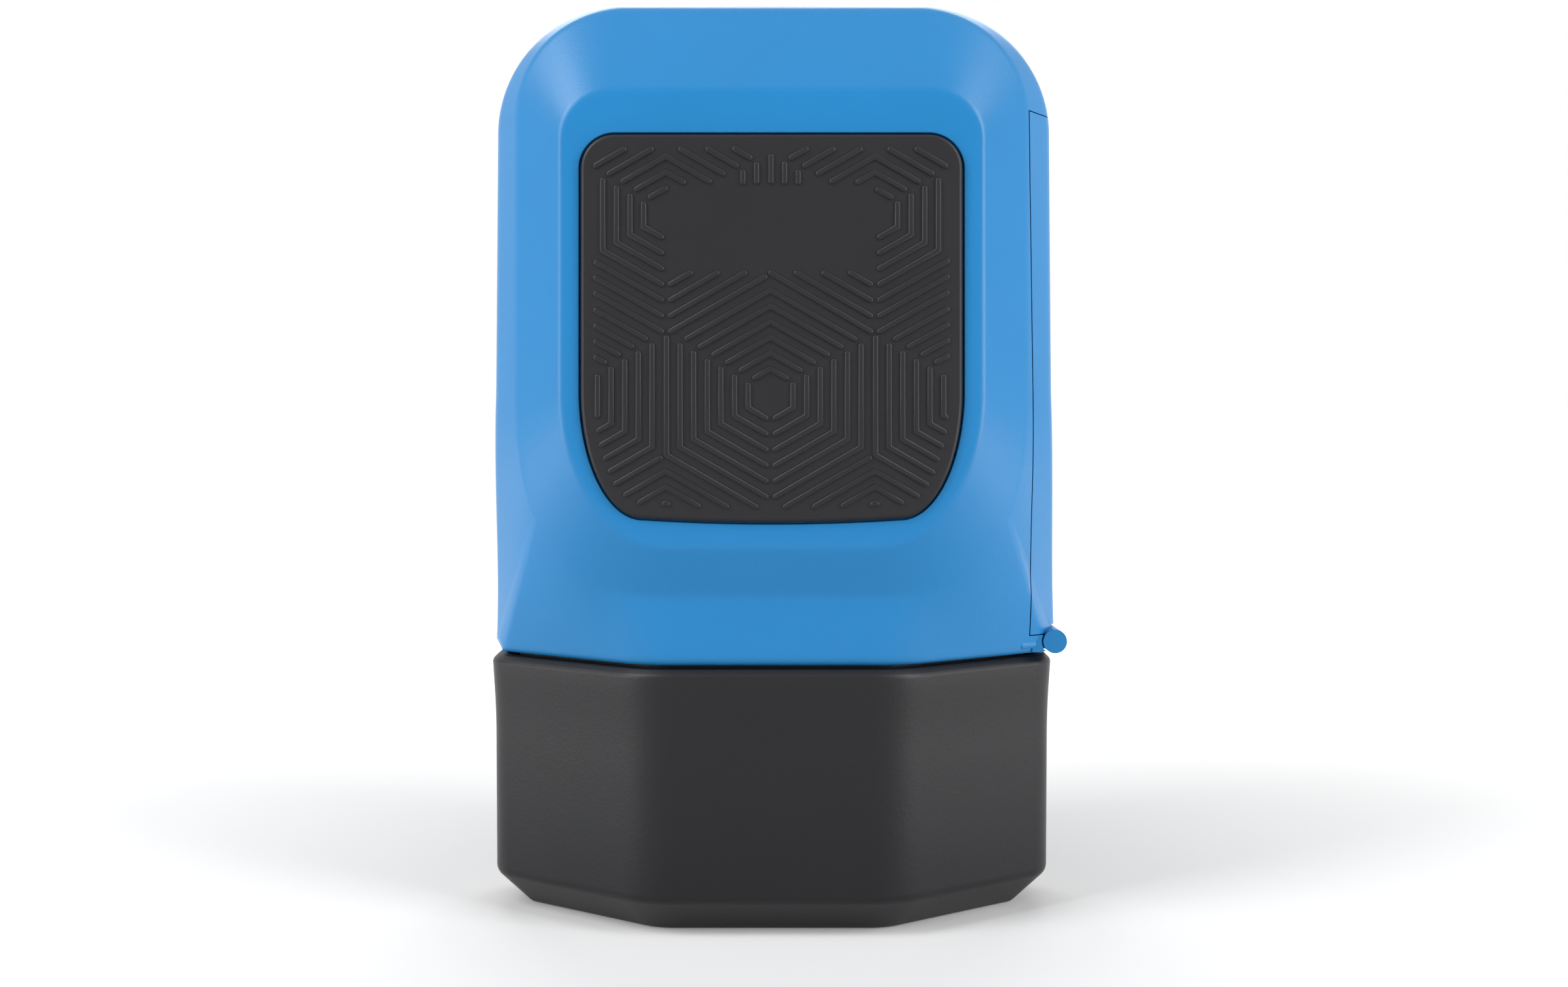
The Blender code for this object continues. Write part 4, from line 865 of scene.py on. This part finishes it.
def build_pad(sizes, name, side, node, material):
    """A grip pad: rounded plate with raised ribs in rings about a hexagonal lattice."""
    low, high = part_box(node)
    face = max(abs(low[1]), abs(high[1]))
    back = min(abs(low[1]), abs(high[1]))
    levels = [(back, 0.0)]
    for step in range(PAD_ROUND_STEPS + 1):
        angle = 0.5 * math.pi * step / PAD_ROUND_STEPS
        draw = PAD_EDGE_ROUND * (1.0 - math.cos(angle))
        levels.append((face - PAD_EDGE_ROUND * (1.0 - math.sin(angle)), -draw))
    rows = [on_side(sizes, whole(pad_loop(grow, sizes.half_depth - outward, PAD_COUNTS)), side)
            for outward, grow in levels]
    parts = [row_part(rows, side > 0)]
    polygon = pad_polygon(-RIB_MARGIN)
    across = 2.0 * (FIRST_APOTHEM + (sizes.ring_count - 1) * sizes.rib_pitch) + LATTICE_ROOM
    down = across * math.sqrt(3.0) * 0.5
    for row in LATTICE_ROWS:
        for column in LATTICE_COLUMNS:
            centre = np.array([LATTICE_X + (column + 0.5 * (row % 2)) * across, LATTICE_Z + row * down])
            for path in hexagon_paths(sizes, centre):
                for stretch in kept_stretches(path, polygon):
                    parts.append(row_part(rib_rows(sizes, stretch, face, side), side > 0))
    return add_piece(name, joined_mesh(name, parts), material)


def sleeve_mesh(name, low, high, radius, inner):
    """A sleeve along X: y = r cos a, z = r sin a for an array r of (along, around), closed by its bore."""
    along, around = radius.shape
    axis_z = 0.5 * (low[2] + high[2])
    x = np.linspace(low[0], high[0], along)
    angle = np.linspace(0.0, 2.0 * math.pi, around, endpoint=False)
    reach = np.vstack([radius, np.full((2, around), inner)])
    place = np.concatenate([x, [x[-1], x[0]]])
    rows = np.stack([np.repeat(place[:, None], around, axis=1), reach * np.cos(angle),
                     axis_z + reach * np.sin(angle)], axis=-1)
    return grid_mesh(name, rows, closed_rows=True)


def build_print_sleeve(sizes, material):
    """The rubber sleeve: r = R on the strokes and R - h between them; the strokes lean row by row."""
    outer = 0.5 * (SLEEVE_HIGH[2] - SLEEVE_LOW[2])
    length = SLEEVE_HIGH[0] - SLEEVE_LOW[0]
    turn = np.linspace(0.0, 1.0, PRINT_GRID[0], endpoint=False)
    turns, run = np.meshgrid(turn * STROKES_AROUND, np.linspace(0.0, length, PRINT_GRID[1]) / STROKE_ROW)
    share = run - np.floor(run)
    lean = np.where(np.floor(run) % 2 == 0, 1.0, -1.0)
    wave = (turns + lean * STROKE_LEAN * share) % 1.0
    stroke = (np.abs(wave - 0.5) < STROKE_HALF_WIDTH) & (np.abs(share - 0.5) < STROKE_HALF_LENGTH)
    stroke[[0, -1]] = False
    radius = np.where(stroke, outer, outer - sizes.stroke_height)
    mesh = sleeve_mesh("print_sleeve_skin", SLEEVE_LOW, SLEEVE_HIGH, radius, outer - SLEEVE_WALL)
    return add_piece("print_sleeve_skin", mesh, material)


def bent_wave(way, cross, wave):
    """A wave along one way, bent by a second across it: sin(a way + b sin(c cross)) for a wave (a, b, c)."""
    return np.sin(wave[0] * way + wave[1] * np.sin(wave[2] * cross))


def crossed_waves(turn, run, slants):
    """The product of two slanted waves: sin(a turn + b run) for each slant (a, b)."""
    first, second = (np.sin(a * turn + b * run) for a, b in slants)
    return first * second


def build_foam_sleeve(sizes, material):
    """The inking foam: r = R - h * (crossed waves in angle and length), with its ends drawn in a little."""
    outer = 0.5 * (FOAM_HIGH[2] - FOAM_LOW[2])
    inner = 0.5 * (FOAM_CORE_HIGH[2] - FOAM_CORE_LOW[2])
    length = FOAM_HIGH[0] - FOAM_LOW[0]
    turn, run = np.meshgrid(np.linspace(0.0, 2.0 * math.pi, FOAM_GRID[0], endpoint=False),
                            np.linspace(0.0, 1.0, FOAM_GRID[1]))
    pores = bent_wave(turn, run, PORE_ROUND_WAVE) * bent_wave(run, turn, PORE_LONG_WAVE)
    pores += crossed_waves(turn, run, PORE_SLANTS)
    deep = sizes.foam_pore * np.clip(PORE_MEAN + PORE_SWING * pores, 0.0, 1.0)
    edge = np.clip(np.minimum(run, 1.0 - run) * length / FOAM_EDGE_ROUND, 0.0, 1.0)
    round_in = FOAM_EDGE_ROUND * (1.0 - np.sqrt(1.0 - (1.0 - edge) ** 2))
    mesh = sleeve_mesh("foam_sleeve_skin", FOAM_LOW, FOAM_HIGH, outer - deep - round_in, inner + FOAM_SEAT)
    return add_piece("foam_sleeve_skin", mesh, material)


def build_felt(sizes, material):
    """The soaked felt: x = a c^(2/p), y = b s^(2/p) in stacked rings, nubbled inwards by crossed waves."""
    low, high = np.array(FELT_LOW), np.array(FELT_HIGH)
    centre, half = 0.5 * (low + high), 0.5 * (high - low)
    angle = np.linspace(0.0, 2.0 * math.pi, FELT_GRID[0], endpoint=False)
    c, s = np.cos(angle), np.sin(angle)
    corner = 2.0 / FELT_SQUARENESS
    ring_x, ring_y = np.sign(c) * np.abs(c) ** corner, np.sign(s) * np.abs(s) ** corner
    fall = np.linspace(-0.5 * math.pi, 0.5 * math.pi, FELT_GRID[1])[:, None]
    height = np.sign(np.sin(fall)) * np.abs(np.sin(fall)) ** corner
    width = np.maximum(np.cos(fall), FELT_POLE) ** corner
    draw = sizes.felt_nub * (0.5 + 0.5 * crossed_waves(angle, fall, NUB_SLANTS))
    x = centre[0] + (half[0] - draw) * ring_x * width
    y = centre[1] + (half[1] - draw) * ring_y * width
    z = centre[2] + (half[2] - draw) * height
    mesh = grid_mesh("felt_skin", np.stack([x, y, z], axis=-1))
    return add_piece("felt_skin", mesh, material)


# Finishes
MOTTLE_SCALE = 120.0

# Sockets of a colour mix node, which share their names with its other kinds
MIX_FACTOR, MIX_FROM, MIX_TO, MIX_RESULT = 0, 6, 7, 2


def fill(tree, node, inputs):
    """Sets a node's inputs: a socket is linked to the input, any other value is written on it."""
    for key, value in inputs.items():
        if isinstance(value, bpy.types.NodeSocket):
            tree.links.new(value, node.inputs[key])
        else:
            node.inputs[key].default_value = value
    return node


def add_node(tree, kind, inputs, **settings):
    """A new node of a kind, with its settings and then its inputs."""
    node = tree.nodes.new(kind)
    for key, value in settings.items():
        setattr(node, key, value)
    return fill(tree, node, inputs)


def grain_group():
    """Moulded surface: a fine grain height and a slow mottling mask, from Object coordinates."""
    name = "moulded_surface"
    if name in bpy.data.node_groups:
        return bpy.data.node_groups[name]
    group = bpy.data.node_groups.new(name, "ShaderNodeTree")
    group.interface.new_socket("Vector", in_out="INPUT", socket_type="NodeSocketVector")
    for label, way in (("Grain Scale", "INPUT"), ("Mottle Scale", "INPUT"), ("Height", "OUTPUT"),
                       ("Mottle", "OUTPUT")):
        group.interface.new_socket(label, in_out=way, socket_type="NodeSocketFloat")
    given = group.nodes.new("NodeGroupInput").outputs
    fine = add_node(group, "ShaderNodeTexNoise", {
        "Vector": given["Vector"], "Scale": given["Grain Scale"], "Detail": 2.0})
    slow = add_node(group, "ShaderNodeTexNoise", {
        "Vector": given["Vector"], "Scale": given["Mottle Scale"], "Detail": 3.0})
    add_node(group, "NodeGroupOutput", {"Height": fine.outputs["Fac"], "Mottle": slow.outputs["Fac"]})
    return group


def finish_material(name, colour, roughness, metallic=0.0, grain=5000.0, depth=0.02 * MM, tone=0.06,
                    rough_swing=0.05, specular=0.5):
    """A procedural finish: the colour mottled a little, roughness that varies, and a moulded grain."""
    material = bpy.data.materials.new(name)
    material.use_nodes = True
    tree = material.node_tree
    place = add_node(tree, "ShaderNodeTexCoord", {})
    surface = add_node(tree, "ShaderNodeGroup", {
        "Vector": place.outputs["Object"], "Grain Scale": grain, "Mottle Scale": MOTTLE_SCALE},
        node_tree=grain_group())
    base = np.asarray(colour)
    ramp = add_node(tree, "ShaderNodeMix", {
        MIX_FACTOR: surface.outputs["Mottle"], MIX_FROM: (*(base * (1.0 - tone)), 1.0),
        MIX_TO: (*np.minimum(base * (1.0 + tone), 1.0), 1.0)}, data_type="RGBA")
    spread = add_node(tree, "ShaderNodeMapRange", {
        "Value": surface.outputs["Mottle"], "To Min": roughness - rough_swing,
        "To Max": roughness + rough_swing})
    bump = add_node(tree, "ShaderNodeBump", {
        "Height": surface.outputs["Height"], "Distance": depth, "Strength": 1.0})
    fill(tree, tree.nodes["Principled BSDF"], {
        "Base Color": ramp.outputs[MIX_RESULT], "Roughness": spread.outputs["Result"],
        "Normal": bump.outputs["Normal"], "Metallic": metallic, "Specular IOR Level": specular})
    return material


def dress(node, material):
    """Gives a carried-over frame node its finish."""
    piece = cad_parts[node]
    piece.data.materials.clear()
    piece.data.materials.append(material)


class STAMP_OT_housing(bpy.types.Operator):
    """Build the blue housing and its side door"""

    bl_idname = "stamp.housing"
    bl_label = "Housing and door"

    def execute(self, context):
        sizes = context.scene.stamp_sizes
        blue = finish_material("housing_blue", context.scene.stamp_colours.blue, 0.35, grain=3600.0,
                               depth=0.012 * MM, tone=0.03, rough_swing=0.03, specular=0.36)
        housing = build_housing(sizes, blue)
        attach(housing, "stamp_body")
        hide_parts("housing_shell")
        door = build_door(sizes, blue)
        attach(door, "side_door")
        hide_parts("side_door")
        return {"FINISHED"}


class STAMP_OT_cap(bpy.types.Operator):
    """Build the black cap"""

    bl_idname = "stamp.cap"
    bl_label = "Cap"

    def execute(self, context):
        black = finish_material("cap_black", context.scene.stamp_colours.cap_black, 0.4, grain=3000.0,
                                depth=0.015 * MM, tone=0.08, specular=0.3)
        cap = build_cap(context.scene.stamp_sizes, black)
        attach(cap, "cap")
        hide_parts("cap_shell")
        return {"FINISHED"}


class STAMP_OT_grip_pads(bpy.types.Operator):
    """Build the two ribbed grip pads"""

    bl_idname = "stamp.grip_pads"
    bl_label = "Grip pads"

    def execute(self, context):
        sizes = context.scene.stamp_sizes
        black = finish_material("pad_black", context.scene.stamp_colours.pad_black, 0.36, grain=4200.0,
                                depth=0.008 * MM, tone=0.08, specular=0.22)
        for side, node in ((FRONT, "front_grip_pad"), (REAR, "rear_grip_pad")):
            pad = build_pad(sizes, f"{node}_skin", side, node, black)
            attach(pad, "stamp_body")
            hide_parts(node)
        return {"FINISHED"}


class STAMP_OT_print_sleeve(bpy.types.Operator):
    """Build the rubber print sleeve with its masking pattern"""

    bl_idname = "stamp.print_sleeve"
    bl_label = "Print sleeve"

    def execute(self, context):
        colours = context.scene.stamp_colours
        rubber = finish_material("print_rubber", colours.rubber, 0.7, grain=2500.0, tone=0.12)
        sleeve = build_print_sleeve(context.scene.stamp_sizes, rubber)
        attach(sleeve, "print_roller")
        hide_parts("print_sleeve")
        for node in ("left_traction_ring", "right_traction_ring"):
            dress(node, rubber)
        return {"FINISHED"}


class STAMP_OT_ink_soft(bpy.types.Operator):
    """Build the inking foam and the felt that feeds it"""

    bl_idname = "stamp.ink_soft"
    bl_label = "Ink foam and felt"

    def execute(self, context):
        sizes = context.scene.stamp_sizes
        ink = context.scene.stamp_colours.ink
        soaked = finish_material("ink_foam", ink, 0.8, grain=1400.0, depth=0.25 * MM, tone=0.3)
        fibres = finish_material("ink_felt", ink, 0.9, grain=2600.0, depth=0.2 * MM, tone=0.4)
        foam = build_foam_sleeve(sizes, soaked)
        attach(foam, "ink_roller")
        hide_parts("ink_foam_sleeve")
        felt = build_felt(sizes, fibres)
        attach(felt, "stamp_body")
        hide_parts("ink_reservoir_felt")
        return {"FINISHED"}


class STAMP_OT_inner_parts(bpy.types.Operator):
    """Give the frame, axles, bushes, cartridge and roller cores their finishes"""

    bl_idname = "stamp.inner_parts"
    bl_label = "Inner parts"

    def execute(self, context):
        colours = context.scene.stamp_colours
        frame_black = finish_material("frame_black", colours.frame_black, 0.45, tone=0.1)
        steel = finish_material("steel", colours.steel, 0.48, metallic=1.0, grain=9000.0, depth=0.003 * MM)
        white = finish_material("core_white", colours.core_white, 0.5)
        nylon = finish_material("nylon", colours.nylon, 0.45)
        grey = finish_material("cartridge_grey", colours.cartridge, 0.42, tone=0.08)
        finishes = (
            (frame_black, ("roller_frame", "cartridge_guide")),
            (steel, ("print_roller_axle", "ink_roller_axle", "door_hinge_pin", "left_axle_clip",
                     "right_axle_clip", "cartridge_spring")),
            (white, ("print_roller_core", "ink_roller_core")),
            (nylon, ("left_thrust_washer", "right_thrust_washer", "left_axle_bush", "right_axle_bush")),
            (grey, ("cartridge_case", "cartridge_lid", "cartridge_pull_tab")),
        )
        for material, nodes in finishes:
            for node in nodes:
                dress(node, material)
        return {"FINISHED"}


def add_lamp(name, place, target, size, power):
    """A rectangular softbox that faces its target."""
    lamp = bpy.data.lights.new(name, "AREA")
    lamp.shape = "RECTANGLE"
    lamp.size = size[0]
    lamp.size_y = size[1]
    lamp.energy = power
    item = bpy.data.objects.new(name, lamp)
    item.location = place
    item.rotation_euler = (Vector(target) - Vector(place)).to_track_quat("-Z", "Y").to_euler()
    item.visible_camera = False
    bpy.context.scene.collection.objects.link(item)


# The floor: its tone, and where its glow starts at GLOW_NEAR and reaches white
FLOOR_HALF_WIDTH = 3.0
FLOOR_TONE = 0.8
GLOW_START = 35.0 * MM
GLOW_END = 380.0 * MM
GLOW_NEAR = 0.12


def background_rays(tree):
    """The value 1 for rays that show the background (camera, glossy and transmission rays), else 0."""
    path = add_node(tree, "ShaderNodeLightPath", {}).outputs
    total = path["Is Camera Ray"]
    for kind in ("Is Glossy Ray", "Is Transmission Ray"):
        total = add_node(tree, "ShaderNodeMath", {0: total, 1: path[kind]}, operation="ADD",
                         use_clamp=True).outputs[0]
    return total


def floor_material():
    """Pale floor that keeps the soft shadow near the object and turns white further off."""
    material = bpy.data.materials.new("pale_floor")
    material.use_nodes = True
    tree = material.node_tree
    tree.nodes.clear()
    place = add_node(tree, "ShaderNodeTexCoord", {})
    distance = add_node(tree, "ShaderNodeVectorMath", {0: place.outputs["Object"]}, operation="LENGTH")
    fade = add_node(tree, "ShaderNodeMapRange", {
        "Value": distance.outputs["Value"], "From Min": GLOW_START, "From Max": GLOW_END,
        "To Min": GLOW_NEAR, "To Max": 1.0})
    strength = add_node(tree, "ShaderNodeMath", {
        0: background_rays(tree), 1: fade.outputs["Result"]}, operation="MULTIPLY")
    diffuse = add_node(tree, "ShaderNodeBsdfDiffuse", {"Color": (FLOOR_TONE, FLOOR_TONE, FLOOR_TONE, 1.0)})
    glow = add_node(tree, "ShaderNodeEmission", {"Strength": strength.outputs[0]})
    total = add_node(tree, "ShaderNodeAddShader", {0: diffuse.outputs[0], 1: glow.outputs[0]})
    add_node(tree, "ShaderNodeOutputMaterial", {"Surface": total.outputs[0]})
    return material


def set_world(strength):
    """Plain surrounding light, which the camera, reflections and glass see as white."""
    world = bpy.data.worlds.new("studio")
    bpy.context.scene.world = world
    world.use_nodes = True
    tree = world.node_tree
    spread = add_node(tree, "ShaderNodeMapRange", {
        "Value": background_rays(tree), "To Min": strength, "To Max": 1.0})
    fill(tree, tree.nodes["Background"], {
        "Color": (1.0, 1.0, 1.0, 1.0), "Strength": spread.outputs["Result"]})


# The camera, from the photograph's perspective
FOCAL_PIXELS = 2597
AXIS_COLUMN = 1185
AXIS_ROW = 665
SENSOR_WIDTH = 36.0
CLIP_NEAR = 1.0 * MM
CLIP_FAR = 20.0


def add_camera(stage, sizes):
    """A level camera in front of the object, shifted so that its axis meets the photograph's own point."""
    data = bpy.data.cameras.new("camera")
    data.sensor_fit = "HORIZONTAL"
    data.sensor_width = SENSOR_WIDTH
    data.lens = FOCAL_PIXELS / PHOTO_WIDTH * SENSOR_WIDTH
    data.shift_x = (PHOTO_WIDTH / 2 - AXIS_COLUMN) / PHOTO_WIDTH
    data.shift_y = -(PHOTO_HEIGHT / 2 - AXIS_ROW) / PHOTO_WIDTH
    data.clip_start = CLIP_NEAR
    data.clip_end = CLIP_FAR
    camera = bpy.data.objects.new("camera", data)
    camera.location = (0.0, -(sizes.half_depth + stage.camera_distance), stage.camera_height)
    camera.rotation_euler = (0.5 * math.pi, 0.0, 0.0)
    bpy.context.scene.collection.objects.link(camera)
    bpy.context.scene.camera = camera


# Lamps that stand on both sides: name, place on the right, size, and the point it faces
AIM = (0.0, 0.0, 50.0 * MM)
HIGH_AIM = (0.0, 0.0, 70.0 * MM)
LOW_AIM = (0.0, -10.0 * MM, 35.0 * MM)
PAIRED_LAMPS = (
    ("softbox", (0.36, -0.22, 0.16), (0.16, 0.40), AIM),
    ("side_softbox", (0.40, 0.0, 0.16), (0.24, 0.36), AIM),
    ("upper_lamp", (0.24, -0.14, 0.32), (0.16, 0.16), HIGH_AIM),
    ("low_strip", (0.16, -0.06, 0.02), (0.14, 0.035), LOW_AIM),
    ("rear_softbox", (0.1, 0.3, 0.36), (0.2, 0.2), AIM),
)
TOP_LAMP_PLACE = (0.0, -0.12, 0.45)
TOP_LAMP_SIZE = (0.5, 0.3)


class STAMP_OT_stage(bpy.types.Operator):
    """Set the floor, the softboxes, the surrounding light and the camera"""

    bl_idname = "stamp.stage"
    bl_label = "Stage"

    def execute(self, context):
        stage = context.scene.stamp_stage
        half = FLOOR_HALF_WIDTH
        mesh = bpy.data.meshes.new("floor")
        mesh.from_pydata([(-half, -half, 0.0), (half, -half, 0.0), (half, half, 0.0), (-half, half, 0.0)], [],
                         [(0, 1, 2, 3)])
        mesh.materials.append(floor_material())
        floor = bpy.data.objects.new("floor", mesh)
        context.scene.collection.objects.link(floor)
        left = (stage.left_power, stage.left_side_power, stage.left_upper_power)
        right = (stage.right_power, stage.right_side_power, stage.right_upper_power)
        for name, hand, powers in (("left", -1.0, left), ("right", 1.0, right)):
            powers = (*powers, stage.low_power, stage.rear_power)
            for (kind, place, size, aim), power in zip(PAIRED_LAMPS, powers):
                add_lamp(f"{name}_{kind}", (hand * place[0], place[1], place[2]), aim, size, power)
        add_lamp("top_softbox", TOP_LAMP_PLACE, AIM, TOP_LAMP_SIZE, stage.top_power)
        set_world(stage.world_light)
        add_camera(stage, context.scene.stamp_sizes)
        context.scene.view_settings.view_transform = "Standard"
        return {"FINISHED"}


class STAMP_PT_panel(bpy.types.Panel):
    """Sizes, colours and steps of the roller stamp"""

    bl_idname = "STAMP_PT_panel"
    bl_label = "Roller stamp"
    bl_space_type = "VIEW_3D"
    bl_region_type = "UI"
    bl_category = "Roller stamp"

    def draw(self, context):
        layout = self.layout
        for group in (context.scene.stamp_sizes, context.scene.stamp_colours, context.scene.stamp_stage):
            box = layout.box()
            for name in group.__annotations__:
                box.prop(group, name)
        for operator in OPERATORS:
            layout.operator(operator.bl_idname)


OPERATORS = (STAMP_OT_housing, STAMP_OT_cap, STAMP_OT_grip_pads, STAMP_OT_print_sleeve, STAMP_OT_ink_soft,
             STAMP_OT_inner_parts, STAMP_OT_stage)
CLASSES = (StampSizes, StampColours, StageSettings, *OPERATORS, STAMP_PT_panel)


def register():
    for item in CLASSES:
        bpy.utils.register_class(item)
    bpy.types.Scene.stamp_sizes = PointerProperty(type=StampSizes)
    bpy.types.Scene.stamp_colours = PointerProperty(type=StampColours)
    bpy.types.Scene.stamp_stage = PointerProperty(type=StageSettings)


def unregister():
    del bpy.types.Scene.stamp_stage
    del bpy.types.Scene.stamp_colours
    del bpy.types.Scene.stamp_sizes
    for item in reversed(CLASSES):
        bpy.utils.unregister_class(item)


def main():
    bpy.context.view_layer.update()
    register()
    bpy.ops.stamp.housing()
    bpy.ops.stamp.cap()
    bpy.ops.stamp.grip_pads()
    bpy.ops.stamp.print_sleeve()
    bpy.ops.stamp.ink_soft()
    bpy.ops.stamp.inner_parts()
    bpy.ops.stamp.stage()


if __name__ == "__main__":
    main()
